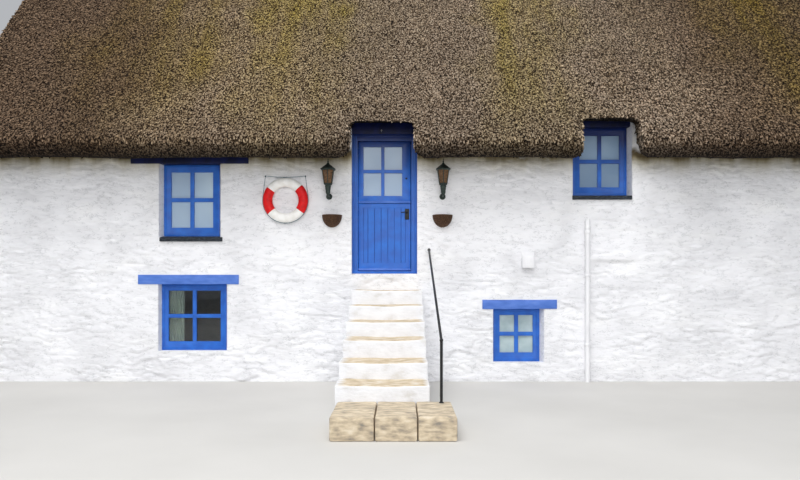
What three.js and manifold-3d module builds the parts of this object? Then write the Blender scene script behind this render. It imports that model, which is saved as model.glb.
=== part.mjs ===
// Thatched cottage: a limewashed rubble house of two low storeys under a deep thatch, with a
// stable door at the head of outside steps. Millimetres, +Z up, the front faces -Y. The origin
// is on the ground at the middle of the house's plan, and +X runs to the right of the front.
import * as THREE from "three";
import { mergeVertices } from "three/addons/utils/BufferGeometryUtils.js";
import Module from "manifold-3d";

const wasm = await Module();
wasm.setup();

// House
const houseLength = 13100;
const houseDepth = 5600;
const wallThickness = 550;
const wallHeadHeight = 3684; // where the outer face meets the thatch
const groundFloorThickness = 120;
const upperFloorLevel = 1540;
const upperFloorThickness = 200;
const contactGap = 0.3; // between sloping faces that touch

// Roof
const roofPitch = THREE.MathUtils.degToRad(51);
const thatchThickness = 380;
const eavesReach = 520; // from the wall's face out to the lip of the eaves
const eavesRadius = 130;
const vergeReach = 300;
const ridgeCapReach = 620; // from the ridge out to the cap's edge, on the level
const ridgeCapThickness = 110;
const ridgeCapRadius = 160;

// Notches in the eaves, over the door and over the right upper window
const notchDrop = 0.21; // fall of the notch's ceiling for each millimetre out from the wall
const doorNotch = {
  left: -1380,
  right: -500,
  top: 3702,
  topRadius: 85,
  footRadius: 190,
  splay: 0.05, // widening of the right cheek for each millimetre in from the lip
};
const windowNotch = {
  left: 1765,
  right: 2552,
  top: 3752,
  topRadius: 95,
  footRadius: 140,
  splay: 0.155,
};

// Chimneys, one on each party wall
const chimneyWidth = 900;
const chimneyFoot = 6250;
const chimneyTop = 8650;
const chimneyBandHeight = 130;
const chimneyBandStep = 45;
const potHeight = 380;
const potRadius = 135;
const potBore = 95;
const potWaist = 0.86; // of the pot's radius
const potSides = 20;

// Door
const doorway = { left: -1393, right: -453, bottom: 1540, top: 3557 };
const doorRecess = 110;
const jambWidth = 84;
const doorHeadHeight = 98;
const doorSillHeight = 36;
const doorFrameDepth = 95;
const leafThickness = 44;
const leafRecess = 40; // behind the frame's face
const leafGap = 5;
const closingGap = 9; // at the edge that swings
const leafSplit = 2564;
const leafStile = 72;
const leafFootRail = 115;
const panelSink = 8;
const dripHeight = 30;
const dripReach = 18;
const dripRise = 8; // of the lower leaf's drip above its foot
const hingeOffset = 7.5; // from the leaf's inner face to the pin's axis
const hingeLength = 80;
const knuckleSides = 16;
const hingeHeights = [1720, 2420, 2700, 3320];
const doorPanes = { left: -1230, right: -669, bottom: 2669, top: 3381 };
const doorBarWidth = 46;
const doorLintelTop = 3720;
const handle = {
  left: -629,
  right: -567,
  bottom: 2326,
  top: 2481,
  plate: 6,
  leverHeight: 2429,
  leverReach: 88,
  neck: 44,
  barRadius: 8,
  spindleHole: 11,
};

// Windows: frame outlines on the front, and their repeats on the back. The wall's edges
// splay out by mouth, on the left and the right, from the frame's face to the wall's.
const frameWidth = 38;
const frameSillHeight = 50;
const sashFootHeight = 77;
const glazingBarWidth = 56;
const frameDepth = 70;
const sashSetBack = 12;
const barDepth = 28;
const glassThickness = 4;
const glassLap = 8;
const upperSash = 65;
const lowerSash = 55;
const windowRecess = 120;
const deepRecess = 215;
const upperLeft = {
  left: -4113,
  right: -3303,
  bottom: 2080,
  top: 3111,
  recess: windowRecess,
  sash: upperSash,
  mouth: [37, 40],
  sillHorns: [13, 66],
};
const lowerLeft = {
  left: -4142,
  right: -3204,
  bottom: 437,
  top: 1389,
  recess: windowRecess,
  sash: lowerSash,
  mouth: [15, 35],
};
const upperRight = {
  left: 1821,
  right: 2607,
  bottom: 2677,
  top: 3660,
  recess: deepRecess,
  sash: upperSash,
  mouth: [54, 14],
  sillHorns: [60, 0],
};
const lowerRight = {
  left: 648,
  right: 1316,
  bottom: 274,
  top: 1036,
  recess: windowRecess,
  sash: lowerSash,
  mouth: [20, 45],
};
const backUpperLeft = { ...upperLeft, left: 3303, right: 4113, mouth: [0, 0], sillHorns: null };
const backUpperRight = { ...upperLeft, left: -2629, right: -1819, mouth: [0, 0], sillHorns: null };
const backLower = { ...lowerLeft, left: 200, right: 1138, mouth: [0, 0] };

// Timber lintels and slate sills
const lintelDepth = 160;
const lintelProud = 14;
const lintels = {
  upper_left_window_lintel: { left: -4546, right: -2863, bottom: 3111, top: 3245 },
  lower_left_window_lintel: { left: -4441, right: -3001, bottom: 1389, top: 1524 },
  lower_right_window_lintel: { left: 476, right: 1541, bottom: 1036, top: 1167 },
};
const headBearing = 100;
const headSetBack = 100;
const upperRightHeadTop = 3800;
const sillThickness = 55;
const sillFall = 24;
const sillProud = 40;

// Steps and handrail
const treadHeights = [1314, 1123, 944, 763, 558, 382];
const treadDepth = 485;
const stepsLeft = -1360;
const stepsRight = -400;
const landing = { left: -1340, right: -180, height: 223, depth: 820 };
const rail = {
  x: -286,
  wallHeight: 1880,
  run: 3000,
  fall: 0.344,
  radius: 14,
  postRadius: 15,
  knobRadius: 19,
  flangeRadius: 22,
  flangeThickness: 6,
};

// Fittings on the front wall
const lanternCentres = { lantern_left: -1711, lantern_right: -93 };
const lantern = {
  reach: 170,
  stemFoot: 2640,
  stemFootRadius: 24,
  stemHeadRadius: 43,
  armRadius: 11,
  armBend: 70,
  roseRadius: 44,
  roseThickness: 12,
  bodyFoot: 2795,
  bodyTop: 3001,
  roofTop: 3093,
  finialTop: 3159,
  footRadius: 62,
  headRadius: 92,
  roofRadius: 118,
  roofTipRadius: 14,
  finialRadius: 13,
  finialSeat: 20,
  holderRadius: 16,
  holderHeight: 55,
  wall: 7,
  rim: 14,
  paneShare: 0.36, // half the width of a pane, of the foot's radius
  glass: 3,
};
const basketCentres = { basket_left: -1670, basket_right: -93 };
const basket = { rim: 2377, radius: 145, depth: 180, wall: 9, rings: 8, sides: 24 };
const lifebuoy = { x: -2329, z: 2584, outer: 320, inner: 187.5, depth: 95, sectionSides: 16, sides: 40 };
const grabLineRadius = 4;
const knotLength = 44;
const knotRadius = 7;
const nail = { offset: 284, rise: 345, radius: 4, reach: 62 }; // from the lifebuoy's centre
const pipe = {
  x: 1966,
  radius: 36.5,
  top: 2314,
  clear: 18,
  sides: 20,
  clips: [520, 1500, 2180],
  clipHeight: 30,
  clipRadius: 41.5,
};
const vent = { left: 1037, right: 1206, bottom: 1621, top: 1850, reach: 70, crown: 21, wall: 6 };
const curtainThickness = 24;
const curtainSetBack = 60; // behind the glass
const curtainRise = 10; // above the window's foot
const curtainShare = 0.326; // of the left window's width

const frontFace = -houseDepth / 2;
const halfLength = houseLength / 2;
const tan = Math.tan(roofPitch);
const thatchRise = thatchThickness / Math.cos(roofPitch);
const apexUnderside = wallHeadHeight + (houseDepth / 2) * tan;

const limewash = material(0xf4f4f6, 0.95);
const timberBlue = material(0x3f68c0, 0.5);
const lintelBlue = material(0x24409a, 0.6);
const straw = material(0x6e5f4c, 1);
const ridgeStraw = material(0x84725a, 1);
const pane = material(0x8296a6, 0.1);
const slate = material(0x3a3d38, 0.7);
const tread = material(0xe8d8c0, 0.9);
const blackIron = material(0x16181a, 0.5, 0.6);
const castGreen = material(0x26332e, 0.5, 0.5);
const amber = material(0x8a6040, 0.2);
const wicker = material(0x6b4a30, 0.9);
const buoyWhite = material(0xf2f0ec, 0.4);
const cordGrey = material(0x6e8a98, 0.9);
const whitePaint = material(0xeeeeee, 0.5);
const boards = material(0x8a6a48, 0.8);
const flags = material(0x8c8880, 0.9);
const netting = material(0xdfe6dc, 0.9);

const cottage = new THREE.Group();
buildWalls();
buildFloors();
buildRoof();
buildChimneys();
buildDoor();
buildWindows();
buildSteps();
buildLanterns();
buildBaskets();
buildLifebuoy();
buildPipeAndVent();
buildCurtains();
export default cottage;

// Tools for closed solids

function material(color, roughness, metalness = 0) {
  return new THREE.MeshStandardMaterial({ color, roughness, metalness });
}

function addMesh(name, geometry, look) {
  const mesh = new THREE.Mesh(geometry, look);
  mesh.name = name;
  cottage.add(mesh);
  return mesh;
}

function addSolid(name, shape, look) {
  return addMesh(name, geometryOf(shape), look);
}

function block(left, right, front, back, bottom, top) {
  const geometry = new THREE.BoxGeometry(right - left, back - front, top - bottom);
  return geometry.translate((left + right) / 2, (front + back) / 2, (bottom + top) / 2);
}

function solid(geometry) {
  const bare = geometry.clone();
  bare.deleteAttribute("normal");
  bare.deleteAttribute("uv");
  const merged = mergeVertices(bare, 1e-3);
  return new wasm.Manifold(
    new wasm.Mesh({
      numProp: 3,
      vertProperties: new Float32Array(merged.attributes.position.array),
      triVerts: new Uint32Array(merged.index.array),
    }),
  );
}

function solidBlock(...sides) {
  return solid(block(...sides));
}

function geometryOf(shape) {
  const mesh = shape.getMesh();
  const geometry = new THREE.BufferGeometry();
  geometry.setAttribute("position", new THREE.BufferAttribute(mesh.vertProperties, 3));
  geometry.setIndex(new THREE.BufferAttribute(mesh.triVerts, 1));
  geometry.computeVertexNormals();
  return geometry;
}

// A prism from left to right of a section given as [y, z] points, anticlockwise from +X.
function prism(points, left, right) {
  const shape = new THREE.Shape(points.map(([y, z]) => new THREE.Vector2(y, z)));
  return alongX(shape, left, right);
}

// A shape drawn with its x as y and its y as z, swept from left to right.
function alongX(shape, left, right, curveSegments = 8) {
  const geometry = new THREE.ExtrudeGeometry(shape, {
    depth: right - left,
    bevelEnabled: false,
    curveSegments,
  });
  geometry.applyMatrix4(new THREE.Matrix4().makeBasis(
    new THREE.Vector3(0, 1, 0),
    new THREE.Vector3(0, 0, 1),
    new THREE.Vector3(1, 0, 0),
  ));
  return geometry.translate(left, 0, 0);
}

// A shape drawn in x and z, swept from front to back.
function alongY(shape, front, back, curveSegments = 8) {
  const geometry = new THREE.ExtrudeGeometry(shape, {
    depth: back - front,
    bevelEnabled: false,
    curveSegments,
  });
  return geometry.rotateX(Math.PI / 2).translate(0, back, 0);
}

function cylinderBetween(start, end, radius, sides = 12) {
  const axis = end.clone().sub(start);
  const geometry = new THREE.CylinderGeometry(radius, radius, axis.length(), sides);
  const turn = new THREE.Quaternion().setFromUnitVectors(
    new THREE.Vector3(0, 1, 0),
    axis.clone().normalize(),
  );
  geometry.applyQuaternion(turn);
  const middle = start.clone().add(end).multiplyScalar(0.5);
  return geometry.translate(middle.x, middle.y, middle.z);
}

function tubeAlong(curve, radius, steps, sides = 8) {
  const section = new THREE.Shape();
  section.absarc(0, 0, radius, 0, 2 * Math.PI, false);
  return new THREE.ExtrudeGeometry(section, {
    extrudePath: curve,
    steps,
    curveSegments: sides / 2,
    bevelEnabled: false,
  });
}

// Walls

// Height of the thatch's underside over a point y of the front half.
function undersideAt(y) {
  return wallHeadHeight + (y - frontFace) * tan;
}

// Section of a long wall: its head slopes up under the thatch.
function longWallSection(bottom, front = frontFace) {
  const back = frontFace + wallThickness;
  return [
    [front, bottom],
    [back, bottom],
    [back, undersideAt(back) - contactGap],
    [front, undersideAt(front) - contactGap],
  ];
}

// The space for a window through the wall, its mouth splayed, and falling where it has a sill.
function openingIn(window) {
  const { left, right, bottom, top, recess, mouth, sillHorns } = window;
  const fall = sillHorns ? (sillFall * recess) / (recess + sillProud) : 0;
  const splayed = block(left, right, frontFace - 1, frontFace + recess, bottom, top);
  const corners = splayed.attributes.position;
  for (let i = 0; i < corners.count; i += 1) {
    if (corners.getY(i) < frontFace) {
      const onLeft = corners.getX(i) < (left + right) / 2;
      corners.setX(i, onLeft ? left - mouth[0] : right + mouth[1]);
      corners.setZ(i, corners.getZ(i) < top ? bottom - fall : top);
    }
  }
  const through = solidBlock(left, right, frontFace, frontFace + wallThickness + 1, bottom, top);
  return through.add(solid(splayed));
}

function lintelBlock(span) {
  return block(
    span.left, span.right,
    frontFace - lintelProud, frontFace + lintelDepth,
    span.bottom, span.top,
  );
}

function buildWalls() {
  const left = solid(prism(longWallSection(0), -halfLength, doorway.left))
    .subtract(openingIn(upperLeft))
    .subtract(openingIn(lowerLeft))
    .subtract(solid(lintelBlock(lintels.upper_left_window_lintel)))
    .subtract(solid(lintelBlock(lintels.lower_left_window_lintel)))
    .subtract(solid(sillGeometry(upperLeft, contactGap)))
    .subtract(solid(doorLintelBlock()));
  addSolid("front_wall_left", left, limewash);

  const openHead = solidBlock(
    upperRight.left - upperRight.mouth[0], upperRight.right + upperRight.mouth[1],
    frontFace - 1, frontFace + headSetBack,
    upperRight.top, wallHeadHeight + wallThickness,
  );
  const right = solid(prism(longWallSection(0), doorway.right, halfLength))
    .subtract(openingIn(upperRight))
    .subtract(openingIn(lowerRight))
    .subtract(openHead)
    .subtract(solid(upperRightHeadBlock()))
    .subtract(solid(lintelBlock(lintels.lower_right_window_lintel)))
    .subtract(solid(sillGeometry(upperRight, contactGap)))
    .subtract(solid(doorLintelBlock()));
  addSolid("front_wall_right", right, limewash);

  const backFace = frontFace + wallThickness;
  addMesh(
    "doorway_base",
    block(doorway.left, doorway.right, frontFace, backFace, 0, doorway.bottom),
    limewash,
  );
  addMesh(
    "wall_over_door",
    prism(longWallSection(doorLintelTop, frontFace + headSetBack), doorway.left, doorway.right),
    limewash,
  );

  const back = solid(prism(longWallSection(0), -halfLength, halfLength))
    .subtract(openingIn(backUpperLeft))
    .subtract(openingIn(backUpperRight))
    .subtract(openingIn(backLower));
  addSolid("back_wall", back, limewash).rotation.z = Math.PI;

  addSolid("left_gable_wall", gableWall(-halfLength, -halfLength + wallThickness), limewash);
  addSolid("right_gable_wall", gableWall(halfLength - wallThickness, halfLength), limewash);
}

// A party wall between the long walls, up to the thatch and level under its chimney.
function gableWall(left, right) {
  const edge = houseDepth / 2 - wallThickness;
  const top = undersideAt(-edge) - contactGap;
  const crown = apexUnderside - contactGap;
  const outline = [[-edge, 0], [edge, 0], [edge, top], [0, crown], [-edge, top]];
  return solid(prism(outline, left, right)).subtract(chimneySeat(left, right));
}

function chimneySeat(left, right) {
  return solidBlock(left - 1, right + 1, -chimneyWidth / 2, chimneyWidth / 2, chimneyFoot, chimneyTop);
}

// Floors

function buildFloors() {
  const side = halfLength - wallThickness;
  const edge = houseDepth / 2 - wallThickness;
  addMesh("ground_floor", block(-side, side, -edge, edge, 0, groundFloorThickness), flags);
  const underside = upperFloorLevel - upperFloorThickness;
  addMesh("upper_floor", block(-side, side, -edge, edge, underside, upperFloorLevel), boards);
}

// Roof

// Section of one slope in its own plane: x runs up the slope from the eaves and y out of it.
// Its head is cut upright at the ridge.
function slopeSection() {
  const run = houseDepth / 2 + eavesReach - contactGap / 2;
  const length = run / Math.cos(roofPitch);
  const r = eavesRadius;
  const shape = new THREE.Shape();
  shape.moveTo(length, 0);
  shape.lineTo(length + thatchThickness * tan, thatchThickness);
  shape.lineTo(r, thatchThickness);
  shape.absarc(r, thatchThickness - r, r, Math.PI / 2, Math.PI, false);
  shape.lineTo(0, r);
  shape.absarc(r, r, r, Math.PI, 1.5 * Math.PI, false);
  return shape;
}

function slopeGeometry(left, right) {
  const geometry = alongX(slopeSection(), left, right, 6);
  geometry.rotateX(roofPitch);
  const lip = frontFace - eavesReach;
  return geometry.translate(0, lip, undersideAt(lip));
}

// The space under a notch, from the wall's face out past the eaves. Its upper corners are
// rounded, its feet turn out round the thatch, and its ceiling falls towards the front. Its
// right cheek is splayed.
function notchSpace(notch) {
  return notchPrism(notch, 0).add(notchPrism(notch, notch.splay));
}

function notchPrism(notch, lean) {
  const { left, right, top, topRadius, footRadius } = notch;
  const sharpLip = undersideAt(frontFace - eavesReach);
  const roundedLip = sharpLip + eavesRadius * (Math.sin(roofPitch) + Math.cos(roofPitch) - 1);
  const lip = roundedLip + notchDrop * eavesReach;
  const foot = lip - 600;
  const shape = new THREE.Shape();
  shape.moveTo(left - footRadius, foot);
  shape.lineTo(right + footRadius, foot);
  shape.lineTo(right + footRadius, lip);
  shape.absarc(right + footRadius, lip + footRadius, footRadius, 1.5 * Math.PI, Math.PI, true);
  shape.lineTo(right, top - topRadius);
  shape.absarc(right - topRadius, top - topRadius, topRadius, 0, Math.PI / 2, false);
  shape.lineTo(left + topRadius, top);
  shape.absarc(left + topRadius, top - topRadius, topRadius, Math.PI / 2, Math.PI, false);
  shape.lineTo(left, lip + footRadius);
  shape.absarc(left - footRadius, lip + footRadius, footRadius, 0, -Math.PI / 2, true);
  const geometry = alongY(shape, frontFace - 2 * eavesReach, frontFace, 5);
  const fall = new THREE.Matrix4().set(
    1, lean, 0, lean * (eavesReach - frontFace),
    0, 1, 0, 0,
    0, notchDrop, 1, -notchDrop * frontFace,
    0, 0, 0, 1,
  );
  return solid(geometry.applyMatrix4(fall));
}

function buildRoof() {
  const end = halfLength + vergeReach;
  const stacks = chimneyHole(-1).add(chimneyHole(1));
  const front = solid(slopeGeometry(-end, end))
    .subtract(notchSpace(doorNotch))
    .subtract(notchSpace(windowNotch))
    .subtract(stacks);
  addSolid("thatch_front_slope", front, straw);
  const back = solid(slopeGeometry(-end, end).rotateZ(Math.PI)).subtract(stacks);
  addSolid("thatch_back_slope", back, straw);
  addSolid("thatch_ridge", ridgeCap(-end, end).subtract(stacks), ridgeStraw);
}

// A saddle of thatch over the ridge, following both slopes, with a rounded crown.
function ridgeCap(left, right) {
  const crown = apexUnderside + thatchRise + contactGap / Math.cos(roofPitch);
  const rise = ridgeCapThickness / Math.cos(roofPitch);
  const run = ridgeCapReach;
  const across = ridgeCapThickness * Math.sin(roofPitch);
  const up = ridgeCapThickness * Math.cos(roofPitch);
  const foot = crown - run * tan;
  const shape = new THREE.Shape();
  shape.moveTo(0, crown);
  shape.lineTo(-run, foot);
  shape.lineTo(-run - across, foot + up);
  const r = ridgeCapRadius;
  const centre = crown + rise - r / Math.cos(roofPitch);
  shape.absarc(0, centre, r, Math.PI / 2 + roofPitch, Math.PI / 2 - roofPitch, true);
  shape.lineTo(run + across, foot + up);
  shape.lineTo(run, foot);
  return solid(alongX(shape, left, right, 6));
}

// Chimneys

function chimneyEnds(side) {
  const inner = side * (halfLength - wallThickness);
  const outer = side * halfLength;
  return [Math.min(inner, outer), Math.max(inner, outer)];
}

function chimneyHole(side) {
  const [left, right] = chimneyEnds(side);
  const half = chimneyWidth / 2 + contactGap;
  return solidBlock(left - contactGap, right + contactGap, -half, half, 0, chimneyTop);
}

function buildChimneys() {
  addSolid("chimney_left", chimney(-1), limewash);
  addSolid("chimney_right", chimney(1), limewash);
}

// A stack that fills the crown of the gable, with a projecting band and one clay pot.
function chimney(side) {
  const [left, right] = chimneyEnds(side);
  const half = chimneyWidth / 2;
  const bandFoot = chimneyTop - chimneyBandHeight;
  const middle = (left + right) / 2;
  const stack = solidBlock(left, right, -half, half, chimneyFoot, chimneyTop);
  const band = solidBlock(
    left - chimneyBandStep, right + chimneyBandStep,
    -half - chimneyBandStep, half + chimneyBandStep,
    bandFoot - chimneyBandHeight, bandFoot,
  );
  const profile = [
    [potBore, -potHeight / 2],
    [potRadius, -potHeight / 2],
    [potRadius * potWaist, potHeight / 2],
    [potRadius, potHeight],
    [potBore, potHeight],
  ];
  const points = profile.map(([r, h]) => new THREE.Vector2(r, h));
  points.push(points[0].clone());
  const pot = new THREE.LatheGeometry(points, potSides)
    .rotateX(Math.PI / 2)
    .translate(middle, 0, chimneyTop);
  const flue = new THREE.CylinderGeometry(potBore, potBore, potHeight, potSides)
    .rotateX(Math.PI / 2)
    .translate(middle, 0, chimneyTop);
  return stack.add(band).subtract(solid(flue)).add(solid(pot));
}

// Door

function doorLintelBlock() {
  return block(
    doorway.left - headBearing, doorway.right + headBearing,
    frontFace + headSetBack, frontFace + wallThickness,
    doorway.top, doorLintelTop,
  );
}

function buildDoor() {
  addMesh("door_lintel", doorLintelBlock(), lintelBlue);
  const face = frontFace + doorRecess;
  const inside = face + doorFrameDepth;
  const leafFace = face + leafRecess;
  const leafBack = leafFace + leafThickness;
  const hollow = {
    left: doorway.left + jambWidth,
    right: doorway.right - jambWidth,
    bottom: doorway.bottom + doorSillHeight,
    top: doorway.top - doorHeadHeight,
  };
  const leaf = {
    left: hollow.left + leafGap,
    right: hollow.right - closingGap,
    bottom: hollow.bottom + leafGap,
    top: hollow.top - leafGap,
  };
  const pin = { x: leaf.left - leafGap / 2, y: leafBack + hingeOffset };

  let frame = solidBlock(doorway.left, doorway.right, face, inside, doorway.bottom, doorway.top)
    .subtract(solidBlock(hollow.left, hollow.right, face - 1, inside + 1, hollow.bottom, hollow.top));
  for (const height of hingeHeights) {
    const knuckle = cylinderBetween(
      new THREE.Vector3(pin.x, pin.y, height - hingeLength / 2),
      new THREE.Vector3(pin.x, pin.y, height + hingeLength / 2),
      hingeOffset - contactGap,
      knuckleSides,
    );
    frame = frame.add(solid(knuckle));
  }
  addSolid("door_frame", frame, timberBlue);

  addSolid("door_lower_leaf", lowerLeaf(leaf, leafFace, leafBack), timberBlue);
  addSolid("door_upper_leaf", upperLeaf(leaf, leafFace, leafBack), timberBlue);
  const glassFace = leafFace + barDepth;
  addMesh(
    "door_glass",
    block(
      doorPanes.left - glassLap, doorPanes.right + glassLap,
      glassFace, glassFace + glassThickness,
      doorPanes.bottom - glassLap, doorPanes.top + glassLap,
    ),
    pane,
  );
  addSolid("door_handle", doorHandle(leafFace, leafBack), blackIron);
}

function lowerLeaf(leaf, face, back) {
  const top = leafSplit - leafGap / 2;
  const spindleX = (handle.left + handle.right) / 2;
  const spindleHole = cylinderBetween(
    new THREE.Vector3(spindleX, face - 50, handle.leverHeight),
    new THREE.Vector3(spindleX, back + 50, handle.leverHeight),
    handle.spindleHole,
  );
  const dripFoot = leaf.bottom + dripRise;
  return solidBlock(leaf.left, leaf.right, face, back, leaf.bottom, top)
    .subtract(solidBlock(
      leaf.left + leafStile, leaf.right - leafStile,
      face - 1, face + panelSink,
      leaf.bottom + leafFootRail, top - leafStile,
    ))
    .add(solidBlock(leaf.left, leaf.right, face - dripReach, face, dripFoot, dripFoot + dripHeight))
    .subtract(solid(spindleHole));
}

function upperLeaf(leaf, face, back) {
  const bottom = leafSplit + leafGap / 2;
  const midX = (doorPanes.left + doorPanes.right) / 2;
  const midZ = (doorPanes.bottom + doorPanes.top) / 2;
  const half = doorBarWidth / 2;
  const { left, right, top } = doorPanes;
  let shape = solidBlock(leaf.left, leaf.right, face, back, bottom, leaf.top);
  for (const [x0, x1] of [[left, midX - half], [midX + half, right]]) {
    for (const [z0, z1] of [[doorPanes.bottom, midZ - half], [midZ + half, top]]) {
      shape = shape.subtract(solidBlock(x0, x1, face - 1, back, z0, z1));
    }
  }
  return shape
    .subtract(solidBlock(
      left - glassLap, right + glassLap,
      face + barDepth, back + 1,
      doorPanes.bottom - glassLap, top + glassLap,
    ))
    .add(solidBlock(leaf.left, leaf.right, face - dripReach, face, bottom, bottom + dripHeight));
}

// Plate and lever on both faces of the leaf, joined by the spindle.
function doorHandle(face, back) {
  const { left, right, bottom, top, plate, leverHeight, leverReach, neck, barRadius } = handle;
  const x = (left + right) / 2;
  const bar = (startX, startY, endX, endY) => solid(cylinderBetween(
    new THREE.Vector3(startX, startY, leverHeight),
    new THREE.Vector3(endX, endY, leverHeight),
    barRadius,
  ));
  const lever = (y) => bar(x + barRadius, y, x - leverReach, y);
  return solidBlock(left, right, face - plate, face, bottom, top)
    .add(solidBlock(left, right, back, back + plate, bottom, top))
    .add(bar(x, face - neck, x, back + neck))
    .add(lever(face - neck))
    .add(lever(back + neck));
}

// Windows

// Frame, sash and crossed bars in one, with a rebate for the glass behind the bars.
function windowFrame(window) {
  const { left, right, bottom, top } = window;
  const face = frontFace + window.recess;
  const sash = {
    left: left + frameWidth,
    right: right - frameWidth,
    bottom: bottom + frameSillHeight,
    top: top - frameWidth,
  };
  const panes = panesOf(window);
  const barX = (panes.left + panes.right) / 2;
  const barZ = (panes.bottom + panes.top) / 2;
  const half = glazingBarWidth / 2;
  let shape = solidBlock(left, right, face, face + frameDepth, bottom, top)
    .subtract(solidBlock(sash.left, sash.right, face - 1, face + sashSetBack, sash.bottom, sash.top));
  for (const [x0, x1] of [[panes.left, barX - half], [barX + half, panes.right]]) {
    for (const [z0, z1] of [[panes.bottom, barZ - half], [barZ + half, panes.top]]) {
      shape = shape.subtract(solidBlock(x0, x1, face, face + frameDepth, z0, z1));
    }
  }
  return shape.subtract(solidBlock(
    panes.left - glassLap, panes.right + glassLap,
    face + sashSetBack + barDepth, face + frameDepth + 1,
    panes.bottom - glassLap, panes.top + glassLap,
  ));
}

function panesOf(window) {
  return {
    left: window.left + frameWidth + window.sash,
    right: window.right - frameWidth - window.sash,
    bottom: window.bottom + frameSillHeight + sashFootHeight,
    top: window.top - frameWidth - window.sash,
  };
}

function glassPlane(window) {
  return frontFace + window.recess + sashSetBack + barDepth;
}

function windowGlass(window) {
  const panes = panesOf(window);
  const face = glassPlane(window);
  return block(
    panes.left - glassLap, panes.right + glassLap,
    face, face + glassThickness,
    panes.bottom - glassLap, panes.top + glassLap,
  );
}

// Slate from the frame out past the wall, its top falling towards the front.
function sillGeometry(window, clearance = 0) {
  const inner = frontFace + window.recess + clearance;
  const outer = frontFace - sillProud;
  const top = window.bottom + clearance;
  const foot = window.bottom - sillFall - sillThickness - clearance;
  return prism(
    [[outer, foot], [inner, foot], [inner, top], [outer, top - sillFall]],
    window.left - window.sillHorns[0] - clearance,
    window.right + window.sillHorns[1] + clearance,
  );
}

function upperRightHeadBlock() {
  return block(
    upperRight.left - headBearing, upperRight.right + headBearing,
    frontFace + headSetBack, frontFace + wallThickness,
    upperRight.top, upperRightHeadTop,
  );
}

function buildWindows() {
  const front = {
    upper_left: upperLeft,
    lower_left: lowerLeft,
    upper_right: upperRight,
    lower_right: lowerRight,
  };
  for (const [place, window] of Object.entries(front)) {
    addSolid(place + "_window_frame", windowFrame(window), timberBlue);
    addMesh(place + "_window_glass", windowGlass(window), pane);
  }
  const back = {
    back_upper_left: backUpperLeft,
    back_upper_right: backUpperRight,
    back_lower: backLower,
  };
  for (const [place, window] of Object.entries(back)) {
    addSolid(place + "_window_frame", windowFrame(window), timberBlue).rotation.z = Math.PI;
    addMesh(place + "_window_glass", windowGlass(window), pane).rotation.z = Math.PI;
  }
  for (const [name, span] of Object.entries(lintels)) {
    addMesh(name, lintelBlock(span), lintelBlue);
  }
  addMesh("upper_right_window_lintel", upperRightHeadBlock(), lintelBlue);
  addMesh("upper_left_window_sill", sillGeometry(upperLeft), slate);
  addMesh("upper_right_window_sill", sillGeometry(upperRight), slate);
}

// Steps and handrail

function buildSteps() {
  const section = [[frontFace - treadHeights.length * treadDepth, 0], [frontFace, 0]];
  treadHeights.forEach((height, i) => {
    section.push([frontFace - i * treadDepth, height]);
    section.push([frontFace - (i + 1) * treadDepth, height]);
  });
  addMesh("entrance_steps", prism(section, stepsLeft, stepsRight), limewash);

  const landingBack = frontFace - treadHeights.length * treadDepth;
  addMesh(
    "landing_step",
    block(landing.left, landing.right, landingBack - landing.depth, landingBack, 0, landing.height),
    tread,
  );

  const { x, wallHeight, run, fall, radius, postRadius, knobRadius } = rail;
  const top = new THREE.Vector3(x, frontFace, wallHeight);
  const end = new THREE.Vector3(x, frontFace - run, wallHeight - fall * run);
  const foot = new THREE.Vector3(x, frontFace - run, landing.height);
  const knob = new THREE.SphereGeometry(knobRadius, 16, 10).translate(end.x, end.y, end.z);
  const flange = cylinderBetween(
    new THREE.Vector3(x, frontFace - rail.flangeThickness, wallHeight),
    new THREE.Vector3(x, frontFace, wallHeight),
    rail.flangeRadius,
  );
  const handrail = solid(cylinderBetween(top, end, radius))
    .add(solid(cylinderBetween(foot, end, postRadius)))
    .add(solid(knob))
    .add(solid(flange))
    .trimByPlane([0, -1, 0], -frontFace);
  addSolid("handrail", handrail, blackIron);
}

// Lanterns

function hexagonal(lowRadius, highRadius, bottom, top) {
  return new THREE.CylinderGeometry(highRadius, lowRadius, top - bottom, 6)
    .rotateX(Math.PI / 2)
    .translate(0, 0, (bottom + top) / 2);
}

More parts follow.
